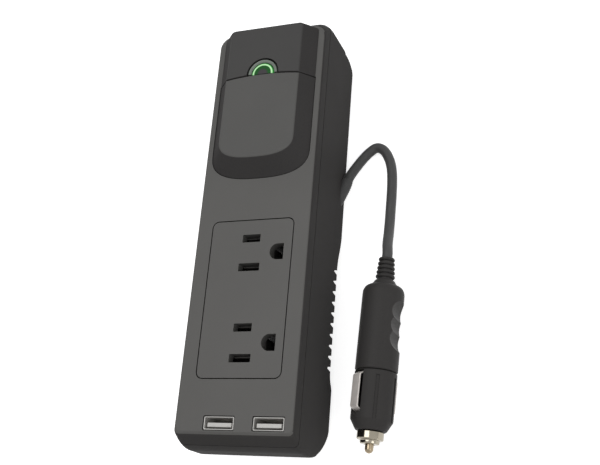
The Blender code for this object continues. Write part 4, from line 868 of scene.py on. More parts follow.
def jacket(name, base):
    """Matt cord jacket with fine drawing marks."""
    finish = Finish(name)
    fine = finish.noise(900.0, rough=0.6)
    finish.set(Base_Color=finish.cloud(finish.noise(60.0, detail=2.0), base, 0.9, 1.1),
               Roughness=finish.spread(fine, 0.5, 0.66, start=0.3, end=0.7),
               Specular_IOR_Level=0.25, Sheen_Weight=0.15, Sheen_Roughness=0.5)
    finish.bump(fine, strength=0.15, distance=0.04 * MM)
    return finish.material


def lit_lens(name, glow):
    """Status lens: bright along its rim, deep green within, grey at its foot."""
    finish = Finish(name)
    deep = colours().deep_green
    shifted = finish.mapped((1.0, 1.0, 0.0), (0.0, -arch_seam(), 0.0))
    reach = finish.node("ShaderNodeVectorMath", {"operation": "LENGTH"})
    finish.put(reach.inputs[0], shifted)
    ring = finish.spread(reach.outputs["Value"], 0.0, 1.0, end=sizes().lens)
    grey = (0.060, 0.056, 0.060)
    dark = (0.0, 0.0, 0.0)
    flank = shade_of(deep, 2.4)
    rim = [(0.88, glow), (0.94, flank), (1.0, flank)]
    surface = [(0.34, grey), (0.54, deep), (0.74, deep), (0.80, glow)] + rim
    light = [(0.40, dark), (0.56, shade_of(deep, 0.4)), (0.75, shade_of(deep, 0.5)), (0.81, glow)] + rim
    finish.set(Base_Color=finish.ramp(ring, surface),
               Emission_Color=finish.ramp(ring, light),
               Emission_Strength=0.6,
               Specular_IOR_Level=0.08,
               Roughness=finish.spread(finish.noise(600.0, detail=2.0), 0.35, 0.5))
    return finish.material


def solder_mask(name, base, tin_colour=(0.55, 0.55, 0.53)):
    """Circuit board: mask with paler tracks and tinned dots."""
    finish = Finish(name)
    tracks = finish.node("ShaderNodeTexBrick", Vector=finish.coords, Scale=420.0, Mortar_Size=0.04,
                         Color1=shade_of(base, 0.9), Color2=shade_of(base, 1.25), Mortar=shade_of(base, 1.7))
    dots = finish.node("ShaderNodeTexVoronoi", Vector=finish.coords, Scale=330.0)
    tin = finish.spread(dots.outputs["Distance"], 1.0, 0.0, start=0.10, end=0.16)
    finish.set(Base_Color=finish.mix(tin, tracks.outputs["Color"], tin_colour),
               Metallic=tin,
               Roughness=finish.spread(finish.noise(500.0), 0.3, 0.5))
    return finish.material


def dark_mask(name, base):
    """Circuit board in the dark behind the outlets."""
    return solder_mask(name, shade_of(base, 3.0), shade_of(base, 5.0))


def banded(name, base, scale, contrast, rough):
    """Wound tape or ringed sleeve: soft bands along Z."""
    finish = Finish(name)
    wave = finish.node("ShaderNodeTexWave", {"bands_direction": "Z"}, Vector=finish.coords, Scale=scale,
                       Distortion=0.6).outputs["Fac"]
    stops = [(0.2, shade_of(base, 1 - contrast)), (0.8, shade_of(base, 1 + contrast / 2))]
    finish.set(Base_Color=finish.ramp(wave, stops),
               Roughness=finish.spread(finish.noise(700.0), rough - 0.08, rough + 0.08))
    finish.bump(wave, strength=0.15, distance=0.1 * MM)
    return finish.material


def clear_tube(name, base):
    """Glass fuse tube."""
    finish = Finish(name)
    haze = finish.noise(400.0, detail=2.0)
    finish.set(Base_Color=finish.cloud(haze, base, 0.95, 1.0),
               Roughness=finish.spread(haze, 0.03, 0.1),
               Transmission_Weight=0.8, IOR=1.5)
    return finish.material


# Maker, colour and settings of each finish
FINISHES = {
    "front_plastic": (moulded, "front", {}),
    # Darkened partly as painted shade for the sides
    "rear_plastic": (moulded, "rear", dict(rough=(0.5, 0.64), strength=0.16, level=0.01)),
    "cap_plastic": (moulded, "cap", {}),
    "crown_plastic": (moulded, "crown", dict(level=0.26)),
    # Painted shade: darker copy of the plastic for the sloping faces
    "slope_plastic": (moulded, "slope", dict(rough=(0.5, 0.64), level=0.01)),
    "rim_grey": (moulded, "rim", dict(grain=2200.0, rough=(0.3, 0.42), strength=0.06)),
    "green_lens": (lit_lens, "glow", {}),
    "bright_steel": (plated, "steel", dict(rough=(0.26, 0.42), metal=0.5)),
    "satin_leaf": (plated, "leaf", dict(rough=(0.38, 0.52), scale=(60.0, 60.0, 900.0), metal=0.3)),
    "plated_nose": (plated, "nose", dict(rough=(0.08, 0.18), scale=(40.0, 40.0, 40.0))),
    "brass": (plated, "brass", dict(rough=(0.18, 0.34), scale=(80.0, 80.0, 80.0))),
    "pale_plastic": (moulded, "pale", dict(grain=1200.0, rough=(0.4, 0.5), strength=0.05, level=0.4,
                                           spread=0.03, worn=0.0)),
    "circuit_board": (solder_mask, "board", {}),
    "dark_plastic": (moulded, "dark", dict(grain=1300.0, rough=(0.45, 0.6))),
    "ferrite": (moulded, "ferrite", dict(grain=900.0, rough=(0.6, 0.8), strength=0.3, level=0.4,
                                         spread=0.12, worn=0.1)),
    "winding_tape": (banded, "tape", dict(scale=300.0, contrast=0.25, rough=0.42)),
    "aluminium": (plated, "aluminium", dict(rough=(0.25, 0.45), scale=(900.0, 30.0, 900.0))),
    "capacitor_sleeve": (banded, "sleeve", dict(scale=120.0, contrast=0.2, rough=0.32)),
    "copper_wire": (plated, "copper", dict(rough=(0.2, 0.38), scale=(300.0, 300.0, 300.0))),
    "cord_rubber": (jacket, "rubber", {}),
    "plug_plastic": (moulded, "plug", dict(grain=1700.0, rough=(0.40, 0.52), strength=0.08, level=0.05)),
    # Painted shade: darkened contacts stand in for the shade inside the outlet slots
    "dark_bronze": (plated, "bronze", dict(rough=(0.5, 0.65), scale=(120.0, 120.0, 120.0), metal=0.3)),
    "dark_board": (dark_mask, "dark", {}),
    "fuse_glass": (clear_tube, "glass", {}),
}


def finish_named(name):
    """Finish by name, made when it is first asked for."""
    if name in Finish.made:
        return Finish.made[name]
    maker, tint, settings = FINISHES[name]
    return maker(name, getattr(colours(), tint), **settings)


# Pieces

class INVERTER_OT_front_shell(bpy.types.Operator):
    """Front cover with its skirt, soft front edge and openings"""

    bl_idname = "inverter.front_shell"
    bl_label = "Front shell"

    def execute(self, context):
        size = sizes()
        back = size.depth - size.cover
        heights = [back + size.cover * share for share in (0.0, 0.3, 0.6)]
        for turn in range(0, 91, 18):
            heights.append(size.depth - size.front_round * (1 - math.sin(math.radians(turn))))
        shell = loft("front_shell", [body_ring(height) for height in heights])
        below, above = back - size.wall, size.depth + size.wall
        recess, shoulder = size.lip_inset - size.gap, back + size.lip + size.gap
        hollow = [(below, recess), (shoulder, recess), (shoulder, size.wall),
                  (size.depth - size.wall, size.wall)]
        combine(shell, loft("cover_hollow", [body_ring(height, inset) for height, inset in hollow]))
        combine(shell, prism("panel_hole", panel_outline(PANEL_PLAY * size.gap), below, above))
        foot, _ = cap_halves()
        button = cap_outline(foot, size.cap_foot, FOOT_ROUND, size.cap_seam, size.gap)
        combine(shell, prism("button_hole", button, below, above))
        for side in SIDES:
            port = oblong(*middle_of(f"usb_shell_{side}"), size.usb_width / 2 + size.gap,
                          size.usb_height / 2 + size.gap, PORT_HOLE_CORNER, steps=4)
            combine(shell, prism("port_hole", port, below, above))
        tidy_faces(shell)
        soften(shell, size.soft_edge)
        # The cover's sloping faces take the darker rear finish as painted shade
        give(shell, "front_plastic", "rear_plastic")
        paint_shade_on_slopes(shell)
        dress(shell, "housing", "front_plastic", ["front_cover"])
        return {"FINISHED"}


class INVERTER_OT_rear_shell(bpy.types.Operator):
    """Rear shell with its rounded ends, side crease, finger grip, louvres and screw wells"""

    bl_idname = "inverter.rear_shell"
    bl_label = "Rear shell"

    def grip_tool(self, extra=0.0):
        """Tool for the finger hollow, or with extra for the wall behind it."""
        size = sizes()
        floor = size.grip_depth + extra
        below = -size.wall
        drop = size.grip_depth - below
        start, end = size.grip_start - extra, size.grip_start + size.grip_length + extra
        profile = [
            (start - drop * size.grip_lower / size.grip_depth, below),
            (end + drop * size.grip_upper / size.grip_depth, below),
            (end, floor),
            (start, floor),
        ]
        tool = loft("grip_tool", [[(x, y, z) for y, z in profile] for x in (-size.width, size.width)])
        round_edges(tool, lambda edge: level_at(edge, floor)
                    and abs(edge.verts[0].co.x - edge.verts[1].co.x) > size.width, GRIP_ROUND, segments=6)
        return tool

    def louvre_tool(self, middle):
        """Tool for a tapered groove across the grip, deeper at the sides."""
        size = sizes()
        outer, inner = size.width / 2 + size.wall, size.width / 2 - LOUVRE_SIDE
        low = size.grip_depth - size.wall
        half = size.louvre_width / 2
        slope = (half - LOUVRE_ROOT) / (LOUVRE_SIDE_DEPTH + size.wall)
        rings = []
        for x in (-outer, -inner, inner, outer):
            depth = LOUVRE_SIDE_DEPTH if abs(x) == outer else LOUVRE_DEPTH
            root = half - slope * (depth + size.wall)
            top = size.grip_depth + depth
            rings.append([(x, middle - half, low), (x, middle + half, low), (x, middle + root, top),
                          (x, middle - root, top)])
        return loft("louvre_tool", rings)

    def execute(self, context):
        size = sizes()
        rim = size.depth - size.cover - size.seam
        heights = [size.bottom_rear * (1 - math.cos(math.radians(turn))) for turn in range(0, 91, 6)]
        heights += [size.rear_round, size.crease - CREASE_RUN, size.crease, rim]
        heights += [size.depth - size.bottom_dome, size.depth - size.top_dome]
        heights = sorted({round(height, 6) for height in heights + EXTRA_HEIGHTS})
        lip = [body_ring(height, size.lip_inset) for height in (rim, rim + size.lip)]
        shell = loft("rear_shell", [body_ring(height) for height in heights] + lip)
        inner = [size.wall] + [height for height in heights if height > size.wall] + [rim + size.wall]
        cavity = loft("rear_cavity", [body_ring(height, size.wall) for height in inner])
        combine(cavity, self.grip_tool(size.grip_wall))
        combine(shell, cavity)
        combine(shell, self.grip_tool())
        middle = size.grip_start + size.grip_length / 2
        first = middle - (size.louvres - 1) / 2 * size.louvre_pitch
        steps = [Matrix.Translation((0.0, number * size.louvre_pitch, 0.0))
                 for number in range(1, size.louvres)]
        combine(shell, join_copies(self.louvre_tool(first), steps))
        half = size.vent_width / 2
        vent = oblong(0.0, first, size.vent_length / 2, half, half * VENT_ROUND, steps=4)
        slot = prism("vent_tool", vent, 0.0, size.grip_depth + size.grip_wall + size.wall)
        combine(shell, join_copies(slot, steps))
        boss = [(BOSS_RADIUS, size.wall - size.gap), (BOSS_RADIUS, rim)]
        well = [(WELL_RADIUS, -size.wall), (WELL_RADIUS, WELL_DEPTH), (SHANK_RADIUS, WELL_DEPTH),
                (SHANK_RADIUS, rim + size.wall)]
        for number in range(1, 5):
            spot = middle_of(f"housing_screw_{number}")
            combine(shell, turned("boss_tool", boss, segments=32, centre=spot), "UNION")
            combine(shell, turned("well_tool", well, segments=32, centre=spot))
        combine(shell, relief_shape("relief_hole", size.gap))
        tidy_faces(shell)
        soften(shell, size.soft_edge)
        # The rear finish is darker partly as painted shade on the sides
        dress(shell, "housing", "rear_plastic", ["rear_housing"], smooth=30.0)
        return {"FINISHED"}


class INVERTER_OT_push_panel(bpy.types.Operator):
    """Lower half of the raised cap, which presses in as the power button"""

    bl_idname = "inverter.push_panel"
    bl_label = "Push panel"

    def cap_body(self, name, inset):
        """Cap's lower half, drawn in all round by an inset."""
        size = sizes()
        foot, top = cap_halves()
        seam = size.cap_seam - size.gap / 2 - inset
        back = size.depth - CAP_FOOT_DEPTH - inset
        outer = cap_outline(foot - inset, size.cap_foot + inset, FOOT_ROUND - inset / 2, seam)
        face = cap_outline(top - inset, size.cap_face + inset, FACE_ROUND - inset / 2, seam)
        return loft(name, [at_height(outer, back), at_height(outer, size.depth),
                           at_height(face, cap_top() - inset)])

    def execute(self, context):
        size = sizes()
        high = cap_top()
        panel = self.cap_body("push_panel", 0.0)
        round_edges(panel, lambda edge: level_at(edge, high), CAP_EDGE, segments=4)
        combine(panel, self.cap_body("panel_hollow", CAP_WALL))
        middle = (size.cap_face + size.cap_seam) / 2
        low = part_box("switch_plunger")[1][2] + size.gap
        post = [(POST_RADIUS, height) for height in (low, high - CAP_WALL + size.gap)]
        combine(panel, turned("press_post", post, segments=24, centre=(0.0, middle)), "UNION")
        soften(panel, size.soft_edge * CAP_SOFT, limit=60.0)
        # The panel's sloping faces take the darker slope finish as painted shade
        give(panel, "cap_plastic", "slope_plastic")
        paint_shade_on_slopes(panel)
        dress(panel, "power_button", "front_plastic", ["power_button"], smooth=30.0)
        return {"FINISHED"}


class INVERTER_OT_crown(bpy.types.Operator):
    """Upper half of the raised cap, with the pocket for the status arch"""

    bl_idname = "inverter.crown"
    bl_label = "Crown"

    def execute(self, context):
        size = sizes()
        seam = size.cap_seam + size.gap / 2
        high = cap_top()
        outer, face = ([(half, size.cap_end), (-half, size.cap_end)] + seam_points(half, seam)[::-1]
                       for half in cap_halves())
        crown = loft("crown", [at_height(outer, size.depth + size.gap), at_height(face, high)])
        round_edges(crown, lambda edge: all(vert.co.y > size.cap_end - NEAR for vert in edge.verts)
                    and abs(edge.verts[0].co.z - edge.verts[1].co.z) > MM, CROWN_CORNER, segments=6)
        round_edges(crown, lambda edge: level_at(edge, high), CAP_EDGE, segments=4)
        reach = size.arch + ARCH_POCKET_MARGIN
        pocket = arc((0.0, arch_seam()), reach, 0, 180, steps=32) + [(-reach, seam - MM), (reach, seam - MM)]
        combine(crown, prism("arch_pocket", pocket, high - ARCH_POCKET_DEPTH, high + MM))
        soften(crown, size.soft_edge * CAP_SOFT, limit=60.0)
        # The crown's sloping faces take the darker slope finish as painted shade
        give(crown, "crown_plastic", "slope_plastic")
        paint_shade_on_slopes(crown)
        dress(crown, "housing", "crown_plastic", ["indicator_crown"], smooth=30.0)
        return {"FINISHED"}


class INVERTER_OT_status_arch(bpy.types.Operator):
    """Green status lens and its grey bezel on the cap's seam"""

    bl_idname = "inverter.status_arch"
    bl_label = "Status arch"

    def execute(self, context):
        size = sizes()
        seam = arch_seam()
        high = cap_top()
        profile = drawn(BEZEL_OUTSIDE, size.arch, high) + drawn(BEZEL_INSIDE, size.lens + size.gap, high)
        rings = []
        for turn in range(0, 181, 6):
            lean = math.radians(turn)
            rings.append([(r * math.cos(lean), seam + r * math.sin(lean), z) for r, z in profile])
        dress(loft("arch_bezel", rings), "housing", "rim_grey", ["lens_bezel"])
        rings = []
        for share, drop in LENS_PROFILE:
            radius = size.lens * share
            lean = math.degrees(math.asin(size.lens_drop / radius))
            rings.append(at_height(arc((0.0, seam), radius, -lean, 180 + lean, steps=36), high - drop * MM))
        dress(loft("arch_lens", rings), "housing", "green_lens", ["indicator_lens"])
        return {"FINISHED"}


class INVERTER_OT_outlet_panel(bpy.types.Operator):
    """Panel with two grounded outlets"""

    bl_idname = "inverter.outlet_panel"
    bl_label = "Outlet panel"

    def execute(self, context):
        size = sizes()
        ledge = size.depth - size.wall - size.gap
        back = ledge - FLANGE_THICK
        flange, face = panel_outline(FLANGE), panel_outline()
        rings = [at_height(flange, back), at_height(flange, ledge), at_height(face, ledge),
                 at_height(face, size.depth)]
        panel = loft("outlet_panel", rings)
        low, high = back - size.wall, size.depth + size.wall
        for side in (-1, 1):
            middle = size.panel_middle + side * size.outlet_pitch / 2
            for offset, slot_length in BLADE_SLOTS:
                slot = oblong(0.0, middle + offset, slot_length / 2, SLOT_HALF, SLOT_CORNER, steps=3)
                combine(panel, prism("blade_slot", slot, low, high))
            pin = [(PIN_FLAT, middle - PIN_RADIUS), (PIN_FLAT, middle + PIN_RADIUS)]
            pin += arc((PIN_FLAT - PIN_MIDDLE, middle), PIN_RADIUS, 90, 270, steps=24)
            combine(panel, prism("ground_hole", pin, low, high))
        tidy_faces(panel)
        soften(panel, size.soft_edge)
        dress(panel, "housing", "front_plastic", ["outlet_faceplate"])
        return {"FINISHED"}


class INVERTER_OT_usb_ports(bpy.types.Operator):
    """Two plated ports, each with a pale tongue and four contact strips"""

    bl_idname = "inverter.usb_ports"
    bl_label = "USB ports"

    def shell(self, side):
        """Folded sheet shell with a rounded mouth."""
        size = sizes()
        low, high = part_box(f"usb_shell_{side}")
        steps = [(share, high[2] + rise * MM, corner) for share, rise, corner in PORT_MOUTH]
        first, last = PORT_MOUTH[0], PORT_MOUTH[-1]
        steps = [(first[0], low[2], first[2])] + steps + [(last[0], low[2] + PORT_SHEET, last[2])]
        rings = []
        for share, height, corner in steps:
            inset = share * PORT_SHEET
            outline = oblong(*middle_of(f"usb_shell_{side}"), size.usb_width / 2 - inset,
                             size.usb_height / 2 - inset, corner * MM, steps=5)
            rings.append(at_height(outline, height))
        return loft(f"port_shell_{side}", rings)

    def tongue(self, side):
        """Stepped tongue with its contact strips."""
        low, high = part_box(f"usb_tongue_{side}")
        step = low[2] + TONGUE_STEP
        upper = low[1] + TONGUE_INSET + BLADE_THICK
        tongue = block(f"port_tongue_{side}", low, (high[0], high[1], step))
        blade = block("tongue_blade", (low[0] + TONGUE_INSET, low[1] + TONGUE_INSET, step - sizes().gap),
                      (high[0] - TONGUE_INSET, upper, high[2]))
        combine(tongue, blade, "UNION")
        soften(tongue, TONGUE_EDGE, segments=3)
        give(tongue, "pale_plastic", "brass")
        first = middle_of(f"usb_shell_{side}")[0] - (STRIPS - 1) / 2 * STRIP_PITCH
        strip = block("contact_strip", (first - STRIP_HALF, upper - STRIP_SINK, step),
                      (first + STRIP_HALF, upper + STRIP_RISE, high[2] - STRIP_END))
        give(strip, "pale_plastic", "brass")
        for face in strip.data.polygons:
            face.material_index = 1
        soften(strip, STRIP_EDGE)
        join_copies(strip, [Matrix.Translation((number * STRIP_PITCH, 0.0, 0.0))
                            for number in range(1, STRIPS)])
        make_active(tongue, strip)
        bpy.ops.object.join()
        return tongue

    def execute(self, context):
        for side in SIDES:
            dress(self.shell(side), "housing", "bright_steel", [f"usb_shell_{side}"])
            dress(self.tongue(side), "housing", "pale_plastic", [f"usb_tongue_{side}"])
        return {"FINISHED"}


class INVERTER_OT_lead(bpy.types.Operator):
    """Cord and the strain relief where it leaves the housing"""

    bl_idname = "inverter.lead"
    bl_label = "Lead"

    def execute(self, context):
        dress(relief_shape("strain_relief"), "housing", "cord_rubber", ["cord_gland"])
        bpy.ops.curve.primitive_bezier_curve_add()
        cord = bpy.context.object
        cord.name = "lead_cord"
        cord.data.name = "lead_cord"
        cord.data.dimensions = "3D"
        cord.data.splines.clear()
        spline = cord.data.splines.new("BEZIER")
        spline.bezier_points.add(len(LEAD_ROUTE) - 1)
        for knot, spot in zip(spline.bezier_points, LEAD_ROUTE):
            knot.co = spot
            knot.handle_left_type = "AUTO"
            knot.handle_right_type = "AUTO"
        spline.resolution_u = 8
        cord.data.bevel_depth = lead_sizes().cord / 2
        cord.data.bevel_resolution = 8
        cord.data.use_fill_caps = True
        give(cord, "cord_rubber")
        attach(cord, "housing")
        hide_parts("cord")
        clear_selection()
        return {"FINISHED"}


class INVERTER_OT_plug_grip(bpy.types.Operator):
    """Plug's ringed boot and its handle with finger hollows"""

    bl_idname = "inverter.plug_grip"
    bl_label = "Plug grip"

    def boot(self):
        """Turned boot whose rings grow towards the handle."""
        profile = [(BOOT_MOUTH, 0.0)]
        for number in range(BOOT_RINGS):
            profile += drawn(BOOT_RING, BOOT_RADIUS + number * BOOT_GROWTH, number * BOOT_PITCH)
        profile += drawn(BOOT_FOOT) + [(BOOT_REAR, lead_sizes().boot)]
        boot = turned("plug_sleeve", profile, segments=40)
        place(boot, plug_matrix())
        return boot

    def handle(self):
        """Turned handle with its finger hollows and the bore for the barrel."""
        lead = lead_sizes()
        start, end, *_ = plug_places()
        profile = [(HANDLE_NECK, start)]
        for turn in range(15, 91, 15):
            lift = math.radians(turn)
            profile.append((HANDLE_NECK + (lead.handle - HANDLE_NECK) * math.sin(lift),
                            start + HANDLE_SHOULDER * (1 - math.cos(lift))))
        profile.append((lead.handle, (start + end) / 2))
        handle = turned("plug_grip", profile + drawn(HANDLE_END, lead.handle, end), segments=72)
        for finger in range(lead.fingers):
            middle = start + FINGER_START + (finger + 0.5) * FINGER_PITCH
            reach = lead.handle - FINGER_DEPTH + FINGER_RADIUS
            roll = full_circle((reach, middle), FINGER_RADIUS, FINGER_STEPS)
            rings = [[(x, y, z) for x, z in roll] for y in (-TOOL_REACH, TOOL_REACH)]
            combine(handle, loft("finger_hollow", rings))
        bore = [(HANDLE_BORE, end - BORE_DEPTH), (HANDLE_BORE, end + MM)]
        combine(handle, turned("handle_bore", bore, segments=40))
        tidy_faces(handle)
        soften(handle, HANDLE_EDGE, segments=3, limit=24.0)
        place(handle, plug_matrix())
        return handle

    def execute(self, context):
        dress(self.boot(), "housing", "plug_plastic", ["plug_boot"])
        dress(self.handle(), "housing", "plug_plastic", ["plug_handle"], smooth=30.0)
        return {"FINISHED"}


class INVERTER_OT_plug_barrel(bpy.types.Operator):
    """Plug's fluted barrel with its pockets for the ground springs"""

    bl_idname = "inverter.plug_barrel"
    bl_label = "Plug barrel"

    def execute(self, context):
        lead = lead_sizes()
        _, handle_end, start, straight, end = plug_places()
        neck = handle_end - NECK_LENGTH
        profile = [(NECK_RADIUS, neck), (NECK_RADIUS, start)] + drawn(BARREL_FOOT, lead.barrel, start)
        profile += drawn(BARREL_SHOULDER, lead.barrel, straight) + drawn(BARREL_END, 0.0, end)
        barrel = turned("plug_barrel_shell", profile, segments=72)
        bore = [(FUSE_BORE, neck + NECK_WALL), (FUSE_BORE, end + MM)]
        combine(barrel, turned("fuse_bore", bore, segments=32))
        half = lead.leaf_width / 2 + LEAF_POCKET_MARGIN
        low, high = LEAF_POCKET_SPAN
        pocket = block("leaf_pocket", (lead.barrel - LEAF_POCKET_DEPTH, -half, start + low),
                       (TOOL_REACH, half, start + high))
        flute = block("flute", (lead.barrel - FLUTE_DEPTH, -FLUTE_HALF, start + FLUTE_START),
                      (TOOL_REACH, FLUTE_HALF, end + MM))
        for tool, copies in ((pocket, 2), (flute, lead.flutes)):
            place(tool, Matrix.Rotation(lead.leaf_turn, 4, "Z"))
            turns = [Matrix.Rotation(math.tau * number / copies, 4, "Z") for number in range(1, copies)]
            combine(barrel, join_copies(tool, turns))
        tidy_faces(barrel)
        soften(barrel, BARREL_EDGE, limit=35.0)
        place(barrel, plug_matrix())
        dress(barrel, "housing", "plug_plastic", ["plug_barrel"], smooth=30.0)
        return {"FINISHED"}


class INVERTER_OT_plug_metal(bpy.types.Operator):
    """Plug's two ground springs, plated nose ring and brass tip"""

    bl_idname = "inverter.plug_metal"
    bl_label = "Plug metal"

    def leaf(self, name, turn):
        """Bent strip whose path is drawn in (radius, place along the plug)."""
        lead = lead_sizes()
        start = plug_places()[1] + LEAF_START
        end = start + LEAF_LENGTH
        rise = drawn(LEAF_RISE, lead.barrel)
        path = [(radius, start + along) for radius, along in rise]
        path += [(radius, end - along) for radius, along in reversed(rise)]
        half = lead.leaf_width / 2
        rings = []
        for radius, spot in path:
            rings.append([(radius - LEAF_THICK, -half, spot), (radius, -half, spot), (radius, half, spot),
                          (radius - LEAF_THICK, half, spot)])
        strip = loft(name, rings)
        soften(strip, LEAF_EDGE, limit=50.0)
        place(strip, plug_matrix() @ Matrix.Rotation(turn, 4, "Z"))
        give(strip, "satin_leaf")
        return strip

    def nose(self, start):
        """Plated ring from its place along the plug."""
        lead = lead_sizes()
        outside = drawn(NOSE_OUTSIDE, lead.nose, start)
        inside = drawn(NOSE_INSIDE, lead.tip + TIP_BORE_GAP, start + lead.nose_length)
        profile = outside + inside + [(outside[0][0], inside[-1][1])]
        ring = turned("nose_band", profile, segments=56, hoop=True)
        place(ring, plug_matrix())
        return ring

    def pin(self, end):
        """Tip whose flange is held behind the nose ring's end."""
        lead = lead_sizes()
        flange = end - TIP_FLANGE_DEPTH
        neck = end + TIP_REACH - lead.tip
        profile = [(TIP_FLANGE, flange - TIP_FLANGE_THICK), (TIP_FLANGE, flange), (lead.tip, flange),
                   (lead.tip, neck)]
        for turn in (15, 30, 45, 60, 75, 86):
            lift = math.radians(turn)
            profile.append((lead.tip * math.cos(lift), neck + lead.tip * math.sin(lift)))
        tip = turned("tip_pin", profile, segments=40)
        place(tip, plug_matrix())
        return tip

    def execute(self, context):
        lead = lead_sizes()
        for side, turn in (("upper", lead.leaf_turn), ("lower", lead.leaf_turn + math.pi)):
            dress(self.leaf(f"leaf_{side}", turn), f"ground_spring_{side}", "bright_steel",
                  [f"ground_spring_{side}"])
        start = plug_places()[-1] + lead.gap
        dress(self.nose(start), "nose_ring", "plated_nose", ["nose_ring"], smooth=28.0)
        dress(self.pin(start + lead.nose_length), "plug_tip", "brass", ["tip_contact"], smooth=28.0)
        return {"FINISHED"}


class INVERTER_OT_coil_springs(bpy.types.Operator):
    """Springs under the push panel and behind the plug's fuse"""

    bl_idname = "inverter.coil_springs"
    bl_label = "Coil springs"

    def coil(self, name, radius, wire, reach, turns):
        """Coil about Z that stands on the origin."""
        per_turn, sides = 24, 10
        steps = turns * per_turn
        rings = []
        for step in range(steps + 1):
            lean = math.tau * step / per_turn
            height = wire / 2 + (reach - wire) * step / steps
            section = full_circle((radius, height), wire / 2, sides)
            rings.append([(out * math.cos(lean), out * math.sin(lean), z) for out, z in section])
        return loft(name, rings)

    def fit(self, piece, matrix, node, joint, reach):
        """Sets a coil in its place and dresses it; the joint and reach are not used."""
        place(piece, matrix)
        dress(piece, "housing", "bright_steel", [node])
        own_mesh(piece)

    def execute(self, context):
        size, lead = sizes(), lead_sizes()
        low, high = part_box("button_spring_left")
        reach = high[2] - low[2]
        first = self.coil("button_coil_left", size.coil, size.coil_wire, reach, size.coil_turns)
        second = twin_of(first, "button_coil_right")
        for side, piece in zip(SIDES, (first, second)):
            node = f"button_spring_{side}"
            spot = Matrix.Translation((*middle_of(node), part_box(node)[0][2]))
            self.fit(piece, spot, node, "button_press", reach)
        piece = self.coil("tip_coil", lead.coil, lead.coil_wire, lead.coil_length, lead.coil_turns)
        spot = plug_matrix() @ Matrix.Translation((0.0, 0.0, lead.coil_start))
        self.fit(piece, spot, "tip_spring", "plug_tip_press", lead.coil_length)
        return {"FINISHED"}


class INVERTER_OT_lead_facts(bpy.types.Operator):
    """Lists the pieces that are on the lead and does nothing further with them"""

    bl_idname = "inverter.lead_facts"
    bl_label = "Lead facts"

    def execute(self, context):
        named = bpy.data.objects
        on_it = [named[name] for name in ("plug_sleeve", "plug_grip", "plug_barrel_shell", "leaf_upper",
                                          "leaf_lower", "nose_band", "tip_pin", "tip_coil")]
        on_it.append(frame["nodes"]["fuse"])
        return {"FINISHED"}


class INVERTER_OT_inner_finishes(bpy.types.Operator):
    """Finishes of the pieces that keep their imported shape"""

    bl_idname = "inverter.inner_finishes"
    bl_label = "Inner finishes"

    def execute(self, context):
        contacts = [f"{pole}_contact_{level}" for pole in ("hot", "neutral", "ground")
                    for level in ("upper", "lower")]
        kept = {
            "circuit_board": ["main_board", "indicator_board", "usb_board"],
            "dark_board": ["outlet_board"],
            # The outlet contacts are darkened as painted shade inside the slots
            "dark_bronze": contacts,
            "bright_steel": [f"housing_screw_{number}" for number in range(1, 5)],
            "dark_plastic": [f"power_transistor_{number}" for number in range(1, 5)]
            + ["push_switch", "fan_frame", "fan_rotor"],
            "pale_plastic": ["switch_plunger"],
            "ferrite": ["transformer_core"],
            "winding_tape": ["transformer_winding"],
            "aluminium": ["heat_sink_left", "heat_sink_right"],
            "capacitor_sleeve": ["input_capacitor", "output_capacitor"],
            "copper_wire": ["filter_choke"],
            "green_lens": ["status_led"],
            "fuse_glass": ["fuse"],
        }
        for finish, names in kept.items():
            for name in names:
                node = frame["nodes"][name]
                node.data.materials.clear()
                give(node, finish)
        return {"FINISHED"}


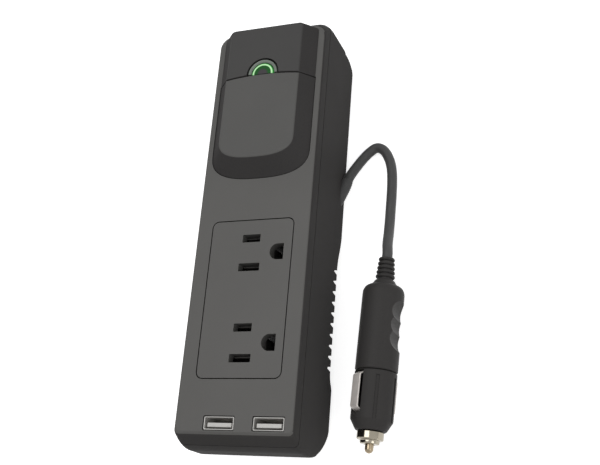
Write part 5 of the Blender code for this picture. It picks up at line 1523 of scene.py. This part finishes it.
class INVERTER_OT_stage(bpy.types.Operator):
    """Floor, lights, surroundings and camera"""

    bl_idname = "inverter.stage"
    bl_label = "Stage"

    def seen_directly(self, tree):
        """1 for rays that the camera, a mirror or glass sends, 0 for others."""
        path = tree.node("ShaderNodeLightPath")
        seen = path.outputs["Is Camera Ray"]
        for kind in ("Is Glossy Ray", "Is Transmission Ray"):
            seen = tree.pair("ShaderNodeMath", "MAXIMUM", seen, path.outputs[kind])
        return seen

    def floor(self, stage):
        """Pale floor that keeps the shadow, with a glow of its own where it is seen directly."""
        clear_selection()
        bpy.ops.mesh.primitive_grid_add(x_subdivisions=8, y_subdivisions=8, size=6.0,
                                        location=(0.0, 0.0, -0.1 * MM))
        floor = bpy.context.object
        floor.name = "stage_floor"
        bpy.ops.object.transform_apply(location=True, rotation=True, scale=True)
        material = bpy.data.materials.new("stage_floor")
        material.use_nodes = True
        material.node_tree.nodes.clear()
        tree = NodeTree(material.node_tree)
        paint = tree.node("ShaderNodeBsdfDiffuse", Color=(0.75, 0.75, 0.75))
        strength = tree.pair("ShaderNodeMath", "MULTIPLY", self.seen_directly(tree), stage.floor)
        glow = tree.node("ShaderNodeEmission", Strength=strength)
        both = tree.node("ShaderNodeAddShader")
        for socket, shader in zip(both.inputs, (paint, glow)):
            tree.put(socket, shader.outputs[0])
        tree.node("ShaderNodeOutputMaterial", Surface=both.outputs[0])
        floor.data.materials.append(material)

    def surroundings(self, scene, stage):
        """White where it is seen directly, and a weaker fill light elsewhere."""
        world = bpy.data.worlds.new("stage_world")
        world.use_nodes = True
        tree = NodeTree(world.node_tree)
        strength = tree.node("ShaderNodeMapRange", Value=self.seen_directly(tree), To_Min=stage.fill,
                             To_Max=1.0)
        background = world.node_tree.nodes["Background"]
        tree.put(background.inputs["Strength"], strength.outputs["Result"])
        tree.put(background.inputs["Color"], (1.0, 1.0, 1.0))
        scene.world = world

    def lamp(self, name, spot, aim, size, energy):
        """Soft round light at a spot, turned to its aim."""
        clear_selection()
        bpy.ops.object.light_add(type="AREA", location=spot)
        lamp = bpy.context.object
        lamp.name = name
        lamp.data.shape = "DISK"
        lamp.data.size = size
        lamp.data.energy = energy
        lamp.rotation_euler = (Vector(aim) - Vector(spot)).to_track_quat("-Z", "Y").to_euler()

    def execute(self, context):
        scene = context.scene
        stage = scene.inverter_stage
        self.floor(stage)
        self.surroundings(scene, stage)
        self.lamp("key_light", spot=(-0.35, 0.40, 1.88), aim=(0.0, 0.0, 0.04), size=1.4, energy=stage.key)
        self.lamp("side_light", spot=(1.1, -0.45, 0.8), aim=(0.03, 0.0, 0.02), size=0.8, energy=stage.side)
        clear_selection()
        bpy.ops.object.camera_add(location=stage.eye, rotation=(stage.tilt, stage.bank, stage.swing))
        camera = context.object
        camera.name = "photo_camera"
        camera.data.lens = stage.lens
        camera.data.sensor_width = 36.0
        camera.data.sensor_fit = "HORIZONTAL"
        camera.data.clip_start = 0.01
        camera.data.dof.use_dof = False
        scene.camera = camera
        scene.view_settings.view_transform = "Standard"
        clear_selection()
        return {"FINISHED"}


class INVERTER_PT_pieces(bpy.types.Panel):
    """Lists the inverter's pieces, sizes and colours"""

    bl_idname = "INVERTER_PT_pieces"
    bl_label = "Inverter pieces"
    bl_space_type = "VIEW_3D"
    bl_region_type = "UI"
    bl_category = "Inverter"

    def draw(self, context):
        layout = self.layout
        for operator in OPERATORS:
            layout.operator(operator.bl_idname)
        for place_name, group in GROUPS.items():
            box = layout.box()
            for name in group.__annotations__:
                box.prop(getattr(context.scene, place_name), name)


GROUPS = {
    "inverter_sizes": HousingSizes,
    "inverter_lead": LeadSizes,
    "inverter_colours": InverterColours,
    "inverter_stage": StageSettings,
}

# In the order in which they run
OPERATORS = [
    INVERTER_OT_stage,
    INVERTER_OT_lead,
    INVERTER_OT_rear_shell,
    INVERTER_OT_front_shell,
    INVERTER_OT_push_panel,
    INVERTER_OT_crown,
    INVERTER_OT_status_arch,
    INVERTER_OT_outlet_panel,
    INVERTER_OT_usb_ports,
    INVERTER_OT_plug_grip,
    INVERTER_OT_plug_barrel,
    INVERTER_OT_plug_metal,
    INVERTER_OT_coil_springs,
    INVERTER_OT_lead_facts,
    INVERTER_OT_inner_finishes,
]
CLASSES = [*GROUPS.values(), *OPERATORS, INVERTER_PT_pieces]


def register():
    for item in CLASSES:
        bpy.utils.register_class(item)
    for name, group in GROUPS.items():
        setattr(bpy.types.Scene, name, PointerProperty(type=group))


def unregister():
    for name in GROUPS:
        delattr(bpy.types.Scene, name)
    for item in reversed(CLASSES):
        bpy.utils.unregister_class(item)


def main():
    register()
    for operator in OPERATORS:
        group, name = operator.bl_idname.split(".")
        getattr(getattr(bpy.ops, group), name)()


if __name__ == "__main__":
    main()
